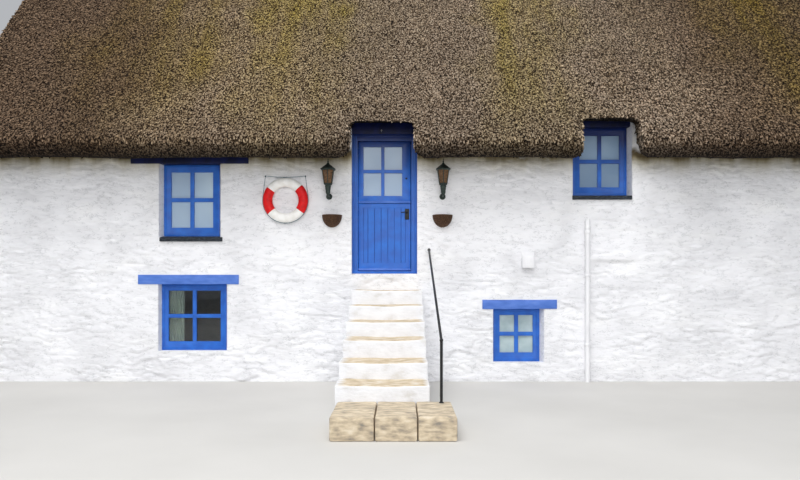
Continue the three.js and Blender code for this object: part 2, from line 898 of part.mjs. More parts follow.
// Hexagonal lantern on a tapered stem and a bent arm, at x = 0 and out from the plane y = 0.
function lanternBody() {
  const { reach, stemFoot, bodyFoot, bodyTop, roofTop, finialTop } = lantern;
  const { footRadius, headRadius, roofRadius, wall, rim } = lantern;
  const paneHalf = footRadius * lantern.paneShare;
  const across = 2 * headRadius;
  let cage = solid(hexagonal(footRadius, headRadius, bodyFoot, bodyTop))
    .subtract(solid(hexagonal(footRadius - wall, headRadius - wall, bodyFoot + rim, bodyTop + 1)));
  for (let turn = 0; turn < 3; turn += 1) {
    const gap = block(-paneHalf, paneHalf, -across, across, bodyFoot + rim, bodyTop - rim);
    cage = cage.subtract(solid(gap.rotateZ((turn * Math.PI) / 3)));
  }
  const finialFoot = roofTop - lantern.finialSeat;
  const finial = new THREE.ConeGeometry(lantern.finialRadius, finialTop - finialFoot, 10)
    .rotateX(Math.PI / 2)
    .translate(0, 0, (finialTop + finialFoot) / 2);
  const lampHolder = cylinderBetween(
    new THREE.Vector3(0, 0, bodyFoot),
    new THREE.Vector3(0, 0, bodyFoot + lantern.holderHeight),
    lantern.holderRadius,
  );
  const { stemHeadRadius, stemFootRadius } = lantern;
  const stem = new THREE.CylinderGeometry(stemHeadRadius, stemFootRadius, bodyFoot - stemFoot, 16)
    .rotateX(Math.PI / 2)
    .translate(0, 0, (bodyFoot + stemFoot) / 2);
  const head = cage
    .add(solid(hexagonal(roofRadius, lantern.roofTipRadius, bodyTop, roofTop)))
    .add(solid(finial))
    .add(solid(lampHolder))
    .add(solid(stem))
    .translate([0, -reach, 0]);
  const arm = new THREE.CurvePath();
  const elbow = new THREE.Vector3(0, -reach, stemFoot);
  const low = new THREE.Vector3(0, -reach, stemFoot + lantern.armBend);
  const turned = new THREE.Vector3(0, -reach + lantern.armBend, stemFoot);
  arm.add(new THREE.QuadraticBezierCurve3(low, elbow, turned));
  arm.add(new THREE.LineCurve3(turned, new THREE.Vector3(0, -lantern.roseThickness / 2, stemFoot)));
  const rose = cylinderBetween(
    new THREE.Vector3(0, -lantern.roseThickness, stemFoot),
    new THREE.Vector3(0, 0, stemFoot),
    lantern.roseRadius,
    20,
  );
  return head.add(solid(tubeAlong(arm, lantern.armRadius, 16))).add(solid(rose));
}

function lanternGlass() {
  const { reach, bodyFoot, bodyTop, footRadius, headRadius, wall, rim, glass } = lantern;
  const inset = wall + 2 * contactGap;
  const low = bodyFoot + rim + contactGap;
  const high = bodyTop - contactGap;
  const outside = solid(hexagonal(footRadius - inset, headRadius - inset, low, high));
  const inside = solid(hexagonal(
    footRadius - inset - glass, headRadius - inset - glass,
    low - 1, high + 1,
  ));
  return outside.subtract(inside).translate([0, -reach, 0]);
}

function buildLanterns() {
  for (const [name, x] of Object.entries(lanternCentres)) {
    addSolid(name, lanternBody(), castGreen).position.set(x, frontFace, 0);
    addSolid(name + "_glass", lanternGlass(), amber).position.set(x, frontFace, 0);
  }
}

// Baskets

// Half bowl with a flat back, open at the top.
function buildBaskets() {
  const { rim, radius, depth, wall, rings, sides } = basket;
  const lift = 5; // of the hollow above the rim, so that it opens the top
  const quarter = (r, h) => {
    const points = [new THREE.Vector2(0, -h)];
    for (let i = 1; i < rings; i += 1) {
      const angle = (i / rings) * (Math.PI / 2);
      points.push(new THREE.Vector2(r * Math.sin(angle), -h * Math.cos(angle)));
    }
    points.push(new THREE.Vector2(r, 0));
    return points;
  };
  const outline = quarter(radius, depth);
  outline.push(new THREE.Vector2(0, 0));
  const inner = quarter(radius - wall, depth - wall);
  inner.push(new THREE.Vector2(radius - wall, lift));
  inner.push(new THREE.Vector2(0, lift));
  const bowl = solid(new THREE.LatheGeometry(outline, sides).rotateX(Math.PI / 2));
  const hollow = solid(new THREE.LatheGeometry(inner, sides).rotateX(Math.PI / 2));
  const span = 2 * depth;
  const front = solidBlock(-span, span, -span, 0, -span, span);
  const hollowFront = solidBlock(-span, span, -span, -wall, -span, span);
  const half = bowl.intersect(front).subtract(hollow.intersect(hollowFront));
  for (const [name, x] of Object.entries(basketCentres)) {
    addSolid(name, half, wicker).position.set(x, frontFace, rim);
  }
}

// Lifebuoy

function buildLifebuoy() {
  const { x, z, outer, inner, depth, sectionSides, sides } = lifebuoy;
  const middle = (outer + inner) / 2;
  const points = [];
  for (let i = 0; i < sectionSides; i += 1) {
    const angle = (i / sectionSides) * 2 * Math.PI;
    points.push(new THREE.Vector2(
      middle + ((outer - inner) / 2) * Math.cos(angle),
      (depth / 2) * Math.sin(angle),
    ));
  }
  points.push(points[0].clone());
  const y = frontFace - depth / 2 - contactGap;
  addMesh("lifebuoy", new THREE.LatheGeometry(points, sides), buoyWhite).position.set(x, y, z);
  addSolid("lifebuoy_rope", grabLine(), cordGrey).position.set(x, y, z);
}

// The line hugs the ring's lower half, and its upper half is drawn out over two nails and
// tied off at the top. Each nail stands where two tangents of the ring meet. Modelled about
// the ring's centre.
function grabLine() {
  const reach = lifebuoy.outer + grabLineRadius + 2 * contactGap;
  const bearing = Math.atan2(nail.rise, nail.offset);
  const low = bearing - Math.acos(reach / Math.hypot(nail.rise, nail.offset));
  const around = (angle) => new THREE.Vector3(reach * Math.cos(angle), 0, reach * Math.sin(angle));
  const cornerAt = (side) => new THREE.Vector3(side * nail.offset, 0, nail.rise);

  const lowerHalf = new THREE.Curve();
  lowerHalf.getPoint = (t) => around(low - t * (Math.PI + 2 * low));
  const route = new THREE.CurvePath();
  route.add(new THREE.LineCurve3(new THREE.Vector3(0, 0, reach + 1), cornerAt(1)));
  route.add(new THREE.LineCurve3(cornerAt(1), around(low)));
  route.add(lowerHalf);
  route.add(new THREE.LineCurve3(around(Math.PI - low), cornerAt(-1)));
  route.add(new THREE.LineCurve3(cornerAt(-1), new THREE.Vector3(-2, 0, reach + 1)));
  const knot = new THREE.SphereGeometry(1, 14, 10)
    .scale(knotLength / 2, knotRadius, knotRadius)
    .translate(0, 0, reach + knotRadius - grabLineRadius + 1);

  let line = solid(tubeAlong(route, grabLineRadius, 80)).add(solid(knot));
  const wallPlane = lifebuoy.depth / 2 + contactGap;
  for (const side of [1, -1]) {
    const { x, z } = cornerAt(side);
    const shaft = cylinderBetween(
      new THREE.Vector3(x, wallPlane - nail.reach, z - nail.radius),
      new THREE.Vector3(x, wallPlane, z - nail.radius),
      nail.radius,
    );
    line = line.add(solid(shaft));
  }
  return line;
}

// Pipe and vent

function buildPipeAndVent() {
  const centre = frontFace - pipe.clear - pipe.radius;
  const length = (bottom, top, radius) => solid(cylinderBetween(
    new THREE.Vector3(pipe.x, centre, bottom),
    new THREE.Vector3(pipe.x, centre, top),
    radius,
    pipe.sides,
  ));
  let down = length(0, pipe.top, pipe.radius);
  for (const foot of pipe.clips) {
    const head = foot + pipe.clipHeight;
    const half = pipe.clipHeight / 2;
    const stay = solidBlock(pipe.x - half, pipe.x + half, centre, frontFace, foot, head);
    down = down.add(length(foot, head, pipe.clipRadius)).add(stay);
  }
  addSolid("waste_pipe", down, whitePaint);

  const { left, right, bottom, top, reach, crown, wall } = vent;
  const hood = solid(prism(
    [[frontFace - reach, bottom], [frontFace, bottom], [frontFace, top],
      [frontFace - crown, top], [frontFace - reach, top - reach]],
    left,
    right,
  ));
  const inside = solidBlock(
    left + wall, right - wall,
    frontFace - reach + wall, frontFace - wall,
    bottom - 1, top - 2 * reach,
  );
  addSolid("wall_vent", hood.subtract(inside), whitePaint);
}

// Curtains

function curtain(window, right) {
  const face = glassPlane(window) + curtainSetBack;
  return block(
    window.left + contactGap, right,
    face, face + curtainThickness,
    window.bottom + curtainRise, window.top - contactGap,
  );
}

function buildCurtains() {
  const drawnTo = lowerLeft.left + (lowerLeft.right - lowerLeft.left) * curtainShare;
  addMesh("lower_left_curtain", curtain(lowerLeft, drawnTo), netting);
  addMesh("lower_right_curtain", curtain(lowerRight, lowerRight.right - contactGap), netting);
}
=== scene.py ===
"""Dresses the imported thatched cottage: thatch, limewashed rubble, painted joinery and fittings."""

import math
from functools import partial

import bmesh
import bpy
import numpy as np
from bpy.props import FloatProperty, FloatVectorProperty, IntProperty, PointerProperty
from mathutils import Matrix, Vector, noise
from mathutils.bvhtree import BVHTree


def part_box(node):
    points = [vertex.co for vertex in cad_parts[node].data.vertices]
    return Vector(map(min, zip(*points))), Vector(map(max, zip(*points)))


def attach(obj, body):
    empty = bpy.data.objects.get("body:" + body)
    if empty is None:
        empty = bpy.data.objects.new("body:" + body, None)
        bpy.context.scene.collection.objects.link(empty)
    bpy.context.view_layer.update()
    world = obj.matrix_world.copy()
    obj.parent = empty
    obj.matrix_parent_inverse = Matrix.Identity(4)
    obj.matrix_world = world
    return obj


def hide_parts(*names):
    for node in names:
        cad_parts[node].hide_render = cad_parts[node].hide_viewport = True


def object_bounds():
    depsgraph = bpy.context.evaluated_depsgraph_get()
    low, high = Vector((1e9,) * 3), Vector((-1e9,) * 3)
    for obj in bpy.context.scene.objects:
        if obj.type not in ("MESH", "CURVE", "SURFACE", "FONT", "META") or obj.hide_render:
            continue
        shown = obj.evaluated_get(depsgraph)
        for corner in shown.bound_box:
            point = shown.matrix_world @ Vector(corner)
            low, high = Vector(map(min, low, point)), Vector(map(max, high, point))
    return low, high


bl_info = {
    "name": "Thatched Cottage",
    "version": (1, 0, 0),
    "blender": (4, 5, 0),
    "location": "View3D > Sidebar > Cottage",
    "description": "Builds the finish of a limewashed cottage under thatch on its packed frame",
    "category": "Object",
}

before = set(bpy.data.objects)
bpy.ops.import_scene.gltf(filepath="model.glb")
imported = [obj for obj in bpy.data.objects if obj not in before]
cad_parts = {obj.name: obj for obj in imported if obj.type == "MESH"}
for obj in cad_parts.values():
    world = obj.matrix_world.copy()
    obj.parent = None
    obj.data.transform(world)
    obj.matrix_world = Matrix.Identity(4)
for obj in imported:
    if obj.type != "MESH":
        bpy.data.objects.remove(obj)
packed_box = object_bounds()

HOUSE = "house"
LOWER_LEAF = "lower_door_leaf"
UPPER_LEAF = "upper_door_leaf"

FRONT_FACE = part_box("front_wall_left")[0][1]
LEFT_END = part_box("left_gable_wall")[0][0]
RIGHT_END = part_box("right_gable_wall")[1][0]
PITCH = math.radians(51)
DRIP_REACH = 0.018  # From a door leaf's face out to its drip board
STONE_LENGTH = 0.22
STONE_HEIGHT = 0.085

SHARP = math.radians(25)  # Edges sharper than this are eased
SAME_WAY = 0.995  # Cosine from which a face looks the way asked for
SAME_PLANE = 0.002
NO_GAP = 1e-6

TUFTS = 60  # Noise cells of the reed's tufts in a metre
TUFT_RELIEF = 0.02
# How strongly a tuft's height lightens or darkens its reeds, as painted light and shade
TUFT_CONTRAST = 3.8
ROOT_DEPTH = 0.012
BUTT_SHARE = 0.25  # Share of a reed that lies beyond the spot that it is set at

OVER = {"data_type": "RGBA"}
TIMES = {"data_type": "RGBA", "blend_type": "MULTIPLY"}

FRONT = Vector((0, -1, 0))
BACK = Vector((0, 1, 0))
LEFT = Vector((-1, 0, 0))
RIGHT = Vector((1, 0, 0))
UP = Vector((0, 0, 1))

WINDOWS = [
    "upper_left", "lower_left", "upper_right", "lower_right",
    "back_upper_left", "back_upper_right", "back_lower",
]


noise.seed_set(5)  # Without it, noise_vector differs from run to run


# Colours and nodes


def linear(colour):
    """An sRGB hex colour as linear red, green, blue and full alpha."""
    parts = [int(colour[i : i + 2], 16) / 255 for i in (0, 2, 4)]
    return (*[c / 12.92 if c <= 0.04045 else ((c + 0.055) / 1.055) ** 2.4 for c in parts], 1.0)


def add_node(tree, kind, *values, out=None, ramp=(), **named):
    """Adds a node, and returns its first output in use, or the one that out names.

    Values, or outputs to link, go in order to the sockets in use, and named ones to the setting
    or the socket of that name. A ramp's marks are each a place and a hex colour or a grey level.
    """
    made = tree.nodes.new("ShaderNode" + kind)
    for name in [name for name in named if hasattr(made, name)]:
        setattr(made, name, named.pop(name))
    marks = made.color_ramp.elements if ramp else ()
    while len(marks) < len(ramp):
        marks.new(1.0)
    for mark, (place, colour) in zip(marks, ramp):
        mark.position = place
        mark.color = linear(colour) if isinstance(colour, str) else (colour,) * 3 + (1.0,)
    in_order = zip([socket for socket in made.inputs if socket.enabled], values)
    by_name = [(made.inputs[name], value) for name, value in named.items()]
    for socket, value in [*in_order, *by_name]:
        if isinstance(value, bpy.types.NodeSocket):
            tree.links.new(value, socket)
        else:
            socket.default_value = value
    return made.outputs[out] if out else next(o for o in made.outputs if o.enabled)


def start_material(**shader):
    """A new material, the way to add nodes to it, and its Object coordinates."""
    look = bpy.data.materials.new("finish")
    look.use_nodes = True
    surface = look.node_tree.nodes["Principled BSDF"]
    for socket, value in shader.items():
        surface.inputs[socket.replace("_", " ")].default_value = value
    add = partial(add_node, look.node_tree)
    return look, add, add("TexCoord", out="Object")


def wired(look, colour, bump=None, roughness=None):
    """The material, with its colour, its bump and its uneven roughness linked to its shader."""
    tree = look.node_tree
    surface = tree.nodes["Principled BSDF"]
    for socket, value in (("Base Color", colour), ("Normal", bump), ("Roughness", roughness)):
        if value is not None:
            tree.links.new(value, surface.inputs[socket])
    return look


def speckled(size, detail, colours, bump=None, stretch=(1, 1, 1), rough=0.5, **shader):
    """A material whose colours follow one noise, and its bump the same one or one of its own.

    The noise's size is in metres. The bump is a depth in metres and a strength, followed by the
    size and the detail of its own noise, if it has one.
    """
    look, add, point = start_material(**shader)
    pattern = add("TexNoise", add("Mapping", point, Scale=stretch), 1 / size, detail, rough)
    relief = None
    if bump:
        depth, strength, *own = bump
        height = add("TexNoise", point, 1 / own[0], own[1]) if own else pattern
        relief = add("Bump", Height=height, Distance=depth, Strength=strength)
    return wired(look, add("ValToRGB", pattern, ramp=colours), relief)


def finish(maker):
    """The material of a maker function, made the first time that it is asked for."""
    known = bpy.data.materials.get(maker.__name__)
    if known:
        return known
    look = maker(bpy.context.scene.cottage)
    look.name = maker.__name__
    return look


# Pieces


def corners(node):
    """The low and the high corner of a CAD node."""
    return [Vector(corner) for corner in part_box(node)]


def cad_copy(node):
    """A bmesh of a CAD node with its corners merged and its flat faces whole."""
    form = bmesh.new()
    form.from_mesh(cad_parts[node].data)
    bmesh.ops.remove_doubles(form, verts=form.verts, dist=2e-5)
    bmesh.ops.dissolve_limit(
        form, angle_limit=math.radians(0.4), verts=form.verts, edges=form.edges,
    )
    return form


def piece(name, form, makers, body=HOUSE, stands_for=(), smooth=None):
    """Turns a bmesh into an object in its makers' materials, which rides on a body.

    Edges sharper than smooth, in degrees, stay sharp in a smooth piece.
    """
    if smooth is not None:
        limit = math.radians(smooth)
        for face in form.faces:
            face.smooth = True
        for edge in form.edges:
            edge.smooth = edge.calc_face_angle(4.0) < limit
    mesh = bpy.data.meshes.new(name)
    form.to_mesh(mesh)
    form.free()
    for maker in makers:
        mesh.materials.append(finish(maker))
    return settle(in_scene(name, mesh), body, stands_for)


def in_scene(name, data):
    """A new object in the scene for a mesh, a camera or a light."""
    thing = bpy.data.objects.new(name, data)
    bpy.context.scene.collection.objects.link(thing)
    return thing


def settle(thing, body=HOUSE, stands_for=()):
    """Makes an object ride on a body, in the place of the CAD nodes that it stands for."""
    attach(thing, body)
    if stands_for:
        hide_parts(*stands_for)
    return thing


def paint_node(node, maker):
    """Gives a maker's material to a CAD node that keeps its own shape."""
    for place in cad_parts[node].material_slots:
        place.material = finish(maker)


def once_each(items):
    """The items without repeats, in an order that is the same in each run."""
    return list(dict.fromkeys(items))


def bevelled(form, edges, width, segments=2, clamp=True):
    """Bevels edges, and returns the new faces."""
    return bmesh.ops.bevel(
        form, geom=edges, offset=width, segments=segments, profile=0.5, affect="EDGES",
        material=-1, clamp_overlap=clamp,
    )["faces"]


def ease(form, width):
    """Rounds the sharp edges."""
    sharp = [e for e in form.edges if e.is_manifold and e.calc_face_angle() > SHARP]
    bevelled(form, sharp, width)


def add_block(form, low, high, material=0):
    """Adds a box between two corners, and returns its vertices."""
    low, high = Vector(low), Vector(high)
    place = Matrix.Translation((low + high) / 2) @ Matrix.Diagonal((*(high - low), 1))
    verts = bmesh.ops.create_cube(form, size=1, matrix=place)["verts"]
    for face in {f for v in verts for f in v.link_faces}:
        face.material_index = material
    return verts


def eased_block(form, low, high, width):
    """Adds a box with rounded edges."""
    verts = add_block(form, low, high)
    bevelled(form, once_each(e for v in verts for e in v.link_edges), width)


def add_turned(form, outline, centre, axis=UP, steps=32, material=0, start=RIGHT, capped=True):
    """Spins an outline of (radius, height) points round an axis through centre.

    An outline that does not come back to its start is closed to the axis at its ends.
    """
    points = list(outline)
    if capped and math.dist(points[0], points[-1]) > NO_GAP:
        if points[0][0] > 0:
            points.insert(0, (0, points[0][1]))
        if points[-1][0] > 0:
            points.append((0, points[-1][1]))
    verts = [form.verts.new(centre + start * r + axis * h) for r, h in points]
    edges = [form.edges.new(pair) for pair in zip(verts, verts[1:])]
    before = set(form.faces)
    bmesh.ops.spin(
        form, geom=verts + edges, cent=centre, axis=axis, angle=math.tau, steps=steps,
        use_merge=True,
    )
    made = [f for f in form.faces if f not in before]
    around = once_each(v for f in made for v in f.verts)
    bmesh.ops.remove_doubles(form, verts=around, dist=NO_GAP)
    made = [f for f in form.faces if f not in before]
    bmesh.ops.recalc_face_normals(form, faces=made)
    for face in made:
        face.material_index = material
    return made


def add_tubes(form, paths, radius, sides=8):
    """Adds round tubes that follow lists of points."""
    line = bpy.data.curves.new("route", "CURVE")
    line.dimensions = "3D"
    line.bevel_depth = radius
    line.bevel_resolution = max(sides // 2 - 2, 0)
    line.use_fill_caps = True
    for points in paths:
        spline = line.splines.new("POLY")
        spline.points.add(len(points) - 1)
        for point, place in zip(spline.points, points):
            point.co = (*place, 1)
    carrier = bpy.data.objects.new("route", line)
    before = set(form.faces)
    mesh = bpy.data.meshes.new_from_object(carrier)
    form.from_mesh(mesh)
    for face in form.faces:
        if face not in before:
            face.smooth = True
    bpy.data.meshes.remove(mesh)
    bpy.data.objects.remove(carrier)
    bpy.data.curves.remove(line)


def cut_off(form, place, facing):
    """Cuts away what lies beyond a plane, and leaves the cut open."""
    bmesh.ops.bisect_plane(
        form, geom=[*form.verts, *form.edges, *form.faces], dist=NO_GAP, plane_co=place,
        plane_no=facing, clear_outer=True,
    )


def smoothstep(low, high, value):
    """0 up to low, 1 from high on, and a smooth rise between them."""
    share = min(max((value - low) / (high - low), 0), 1)
    return share * share * (3 - 2 * share)


def cut_across(form, faces, axis, spacing):
    """Cuts faces at even steps along an axis, and returns the pieces."""
    places = [v.co[axis] for f in faces for v in f.verts]
    low, high = min(places), max(places)
    count = max(round((high - low) / spacing), 1)
    normal = Vector((0, 0, 0))
    normal[axis] = 1
    done = []
    ahead = list(faces)
    for step in range(1, count):
        plane = Vector((0, 0, 0))
        plane[axis] = low + (high - low) * step / count
        edges = once_each(e for f in ahead for e in f.edges)
        verts = once_each(v for f in ahead for v in f.verts)
        cut = bmesh.ops.bisect_plane(
            form, geom=[*verts, *edges, *ahead], dist=NO_GAP, plane_co=plane, plane_no=normal,
        )
        pieces = once_each(g for g in cut["geom"] if isinstance(g, bmesh.types.BMFace))
        ahead = []
        for face in pieces:
            beyond = face.calc_center_median()[axis] > plane[axis]
            (ahead if beyond else done).append(face)
    return done + ahead


# Limewashed rubble


def brushed_limewash(settings):
    """Limewash over rubble: chalky matt white in many brushed coats, with thin grey lines of painted
    shade along its ledges, and under the eaves a band of brown stain deepened by painted shade of the
    overhang.
    """
    look, add, point = start_material(Roughness=0.9, Specular_IOR_Level=0.25)
    laid = add("Mapping", point, Scale=(1, 1, 2.4))
    blotches = add("TexNoise", laid, 1 / 0.9, 5)
    clean = add("ValToRGB", blotches, ramp=[(0.3, "F2F2F5"), (0.5, "F7F7FA"), (0.75, "FDFDFE")])
    spots = add("ValToRGB", add("TexNoise", laid, 1 / 0.14, 4), ramp=[(0.55, 0.0), (0.78, 0.3)])
    spotted = add("Mix", spots, clean, linear("DCDDE1"), **OVER)
    chipped = add("TexNoise", add("Mapping", point, Scale=(1, 1, 2.8)), 1 / 0.17, 7, 0.66)
    # Thin grey lines along the ledges: painted shade, broken into short lengths.
    undercut_shade_line = add("ValToRGB", chipped, ramp=[(0.46, 0.0), (0.5, 0.8), (0.508, 0.0)])
    crumbs = add("TexNoise", add("Mapping", point, Scale=(1, 1, 2)), 1 / 0.11, 3)
    breaks = add("ValToRGB", crumbs, ramp=[(0.46, 0.0), (0.56, 1.0)])
    broken_shade_lines = add("Mix", 1.0, undercut_shade_line, breaks, **TIMES)
    # worn: the spotted white with the painted shade lines laid over it.
    worn = add("Mix", broken_shade_lines, spotted, linear("C6C7CA"), **OVER)
    runs = add("TexNoise", add("Mapping", point, Scale=(1, 1, 0.15)), 1 / 0.16, 4)
    wander = add("MapRange", runs, 0.3, 0.7, -0.035, 0.035)
    level = add("Math", add("SeparateXYZ", point, out="Z"), wander, operation="ADD")
    # Under the eaves the wall darkens: partly brown stain, partly painted shade of the overhang.
    near_eaves = add("MapRange", level, 2.8, 3.4, 0, 1)
    share = add(
        "ValToRGB", near_eaves,
        ramp=[(0.15, 0.0), (0.45, 0.5), (0.65, 1.0), (0.78, 1.0), (0.9, 0.15)],
    )
    eaves_stain_and_shade = add(
        "ValToRGB", near_eaves,
        ramp=[(0.3, "E6E3D8"), (0.5, "CAC2AA"), (0.62, "A09474"), (0.7, "6E6046")],
    )
    # The stain and the painted shade fade out in the reveals, behind the wall's face, so that these stay
    # lit.
    inward = add("SeparateXYZ", point, out="Y")
    outside = add("MapRange", inward, FRONT_FACE + 0.01, FRONT_FACE + 0.05, 1, 0.1)
    stain_and_shade_share = add("Math", share, outside, operation="MULTIPLY")
    ledges = add(
        "ValToRGB", chipped,
        ramp=[(0.36, 0.0), (0.45, 0.5), (0.46, 0.2), (0.53, 0.7), (0.54, 0.35), (0.64, 1.0)],
    )
    patches = add("ValToRGB", add("TexNoise", point, 1 / 0.5, 4), ramp=[(0.4, 0.45), (0.6, 0.8)])
    brushed = add("TexNoise", add("Mapping", point, Scale=(1, 1, 3.2)), 1 / 0.05, 6, 0.6)
    depth = settings.limewash_relief
    stones = add("Bump", Height=ledges, Distance=depth * 1.2, Strength=patches)
    coat = add("Bump", Height=brushed, Distance=depth, Strength=0.8, Normal=stones)
    fine = add("TexNoise", point, 1 / 0.006, 3)
    chalk = add("Bump", Height=fine, Distance=0.0012, Strength=0.5, Normal=coat)
    return wired(look, add("Mix", stain_and_shade_share, worn, eaves_stain_and_shade, **OVER), chalk)


def shade_black_limewash(settings):
    """Limewash painted nearly black as the deep shade under the thatch, faintly mottled."""
    return speckled(
        0.08, 5, [(0.35, "0E0D0C"), (0.75, "35302A")], (0.003, 0.5), (1, 1, 0.4),
        Roughness=0.8, Specular_IOR_Level=0.2,
    )


def trodden_limewash(settings):
    """Limewash on the steps: duller and greyer than the wall's, scuffed by feet."""
    look, add, point = start_material(Roughness=0.85)
    scuffs = add("TexNoise", add("Mapping", point, Scale=(1, 1, 1.8)), 1 / 0.22, 6, 0.6)
    colour = add("ValToRGB", scuffs, ramp=[(0.3, "D0CFCE"), (0.45, "E1E2E6"), (0.7, "EAECF0")])
    brushed = add("TexNoise", add("Mapping", point, Scale=(1, 1, 2)), 1 / 0.05, 5)
    coat = add("Bump", Height=brushed, Distance=settings.limewash_relief, Strength=0.6)
    fine = add("TexNoise", point, 1 / 0.006, 3)
    chalk = add("Bump", Height=fine, Distance=0.0012, Strength=0.5, Normal=coat)
    return wired(look, colour, chalk)


def rubble_height(across, up, seed):
    """Height of the coated stones, from about -1 in the joints to 1 where they stand out.

    The stones lie flat, and each is proudest towards its foot.
    """
    drift = noise.noise_vector(Vector((across * 3.4, up * 5.2, seed))) * 0.13
    cell = Vector(((across + drift.x) / STONE_LENGTH, (up + drift.y) / STONE_HEIGHT, seed))
    distances, centres = noise.voronoi(cell)
    joint = smoothstep(0.0, 0.3, distances[1] - distances[0])
    proud = noise.cell(centres[0] * 7.3)
    overhang = centres[0].y - cell.y
    lumps = noise.fractal(Vector((across * 5, seed, up * 14)), 0.7, 2.1, 3)
    bulge = noise.noise(Vector((across * 0.6, seed, up * 0.9)))
    hidden = smoothstep(-0.3, 0.35, noise.noise(Vector((across * 1.3, seed + 4, up * 2.2))))
    stones = 0.5 * (joint - 0.6) + 0.3 * proud + 0.75 * overhang
    return stones * (0.35 + 0.65 * hidden) + 0.2 * lumps + 0.15 * bulge


def fixture_boxes():
    """Left, right, foot and head of what is fixed to the front wall or bedded in it."""
    held = [
        "lantern_left", "lantern_right", "basket_left", "basket_right", "lifebuoy_rope",
        "waste_pipe", "wall_vent", "upper_left_window_lintel", "lower_left_window_lintel",
        "lower_right_window_lintel", "upper_left_window_sill", "upper_right_window_sill",
        "entrance_steps",
    ]
    boxes = []
    for node in held:
        low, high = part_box(node)
        boxes.append((low[0], high[0], low[2], high[2]))
    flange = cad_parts["handrail"].data
    on_wall = [v.co for v in flange.vertices if v.co.y > FRONT_FACE - 0.01]
    boxes.append((
        min(c.x for c in on_wall), max(c.x for c in on_wall),
        min(c.z for c in on_wall), max(c.z for c in on_wall),
    ))
    return boxes


def calm_beside(boxes, across, up, reach=0.1):
    """0 beside a fixture, and rising to 1 at reach from it."""
    nearest = reach
    for left, right, low, high in boxes:
        aside = max(left - across, across - right, 0)
        above = max(low - up, up - high, 0)
        nearest = min(nearest, math.hypot(aside, above))
    return smoothstep(0, reach, nearest)


def ledge_height(across, up):
    """The straight ledge to the right of the pipe, with the wall set back beneath it."""
    ledge = 1.736
    along = smoothstep(2.03, 2.06, across) * (1 - smoothstep(2.55, 2.7, across))
    below = smoothstep(ledge - 0.02, ledge, up) - 1
    fading = smoothstep(ledge - 0.35, ledge - 0.05, up)
    above = 1 - smoothstep(ledge, ledge + 0.3, up)
    return along * (0.8 * above * (1 + below) + 1.6 * below * fading)


def work_into_rubble(form, facing, spacing, depth, seed, boxes=()):
    """Shapes the outermost faces that look one way into coated rubble."""
    outward = [f for f in form.faces if f.normal.dot(facing) > SAME_WAY]
    plane = max(v.co.dot(facing) for f in outward for v in f.verts)
    outward = [f for f in outward if abs(f.calc_center_median().dot(facing) - plane) < SAME_PLANE]
    along = 0 if abs(facing.y) > 0.5 else 1
    for axis, stretch in ((along, 1.25), (2, 0.75)):
        outward = cut_across(form, outward, axis, spacing * stretch)
    for vert in {v for f in outward for v in f.verts}:
        across, up = vert.co[along], vert.co.z
        calm = calm_beside(boxes, across, up) if boxes else 1
        relief = rubble_height(across, up, seed) - 0.6
        if facing == FRONT:
            relief += 0.3 + ledge_height(across, up)
        vert.co += facing * relief * depth * calm


def rough_wall(node, name, facing, spacing, depth, seed, boxes=()):
    """Replaces a wall by a copy whose outward faces are coated rubble."""
    form = cad_copy(node)
    form.normal_update()
    work_into_rubble(form, facing, spacing, depth, seed, boxes)
    piece(name, form, [brushed_limewash], stands_for=[node], smooth=50)


def build_walls(settings):
    """The rubble walls under their limewash, and the strip over the door painted near black as shade."""
    boxes = fixture_boxes()
    fine, coarse, depth = settings.wall_spacing, settings.wall_spacing * 2, settings.rubble_depth
    rough_wall("front_wall_left", "limewashed_front_left", FRONT, fine, depth, 3, boxes)
    rough_wall("front_wall_right", "limewashed_front_right", FRONT, fine, depth, 3, boxes)
    rough_wall("doorway_base", "limewashed_door_base", FRONT, fine, depth, 3, boxes)
    rough_wall("back_wall", "limewashed_back", BACK, coarse, depth, 11)
    rough_wall("left_gable_wall", "limewashed_left_gable", LEFT, coarse, depth, 17)
    rough_wall("right_gable_wall", "limewashed_right_gable", RIGHT, coarse, depth, 23)
    # Painted shade: the strip over the door, seen in the notch, is painted near black.
    paint_node("wall_over_door", shade_black_limewash)


# Chimneys


def fired_clay(settings):
    """Terracotta chimney pot: matt orange-brown clay, soot-darkened towards its rim."""
    look, add, point = start_material(Roughness=0.85)
    blotch = add("TexNoise", point, 1 / 0.12, 5)
    colour = add("ValToRGB", blotch, ramp=[(0.3, "8E4B34"), (0.6, "B0694B"), (0.8, "BF8062")])
    top = packed_box[1][2]
    soot = add("MapRange", add("SeparateXYZ", point, out="Z"), top - 0.16, top, 0, 0.75)
    grit = add("TexNoise", point, 1 / 0.004, 3)
    relief = add("Bump", Height=grit, Distance=0.0008, Strength=0.6)
    return wired(look, add("Mix", soot, colour, linear("2B211C"), **OVER), relief)


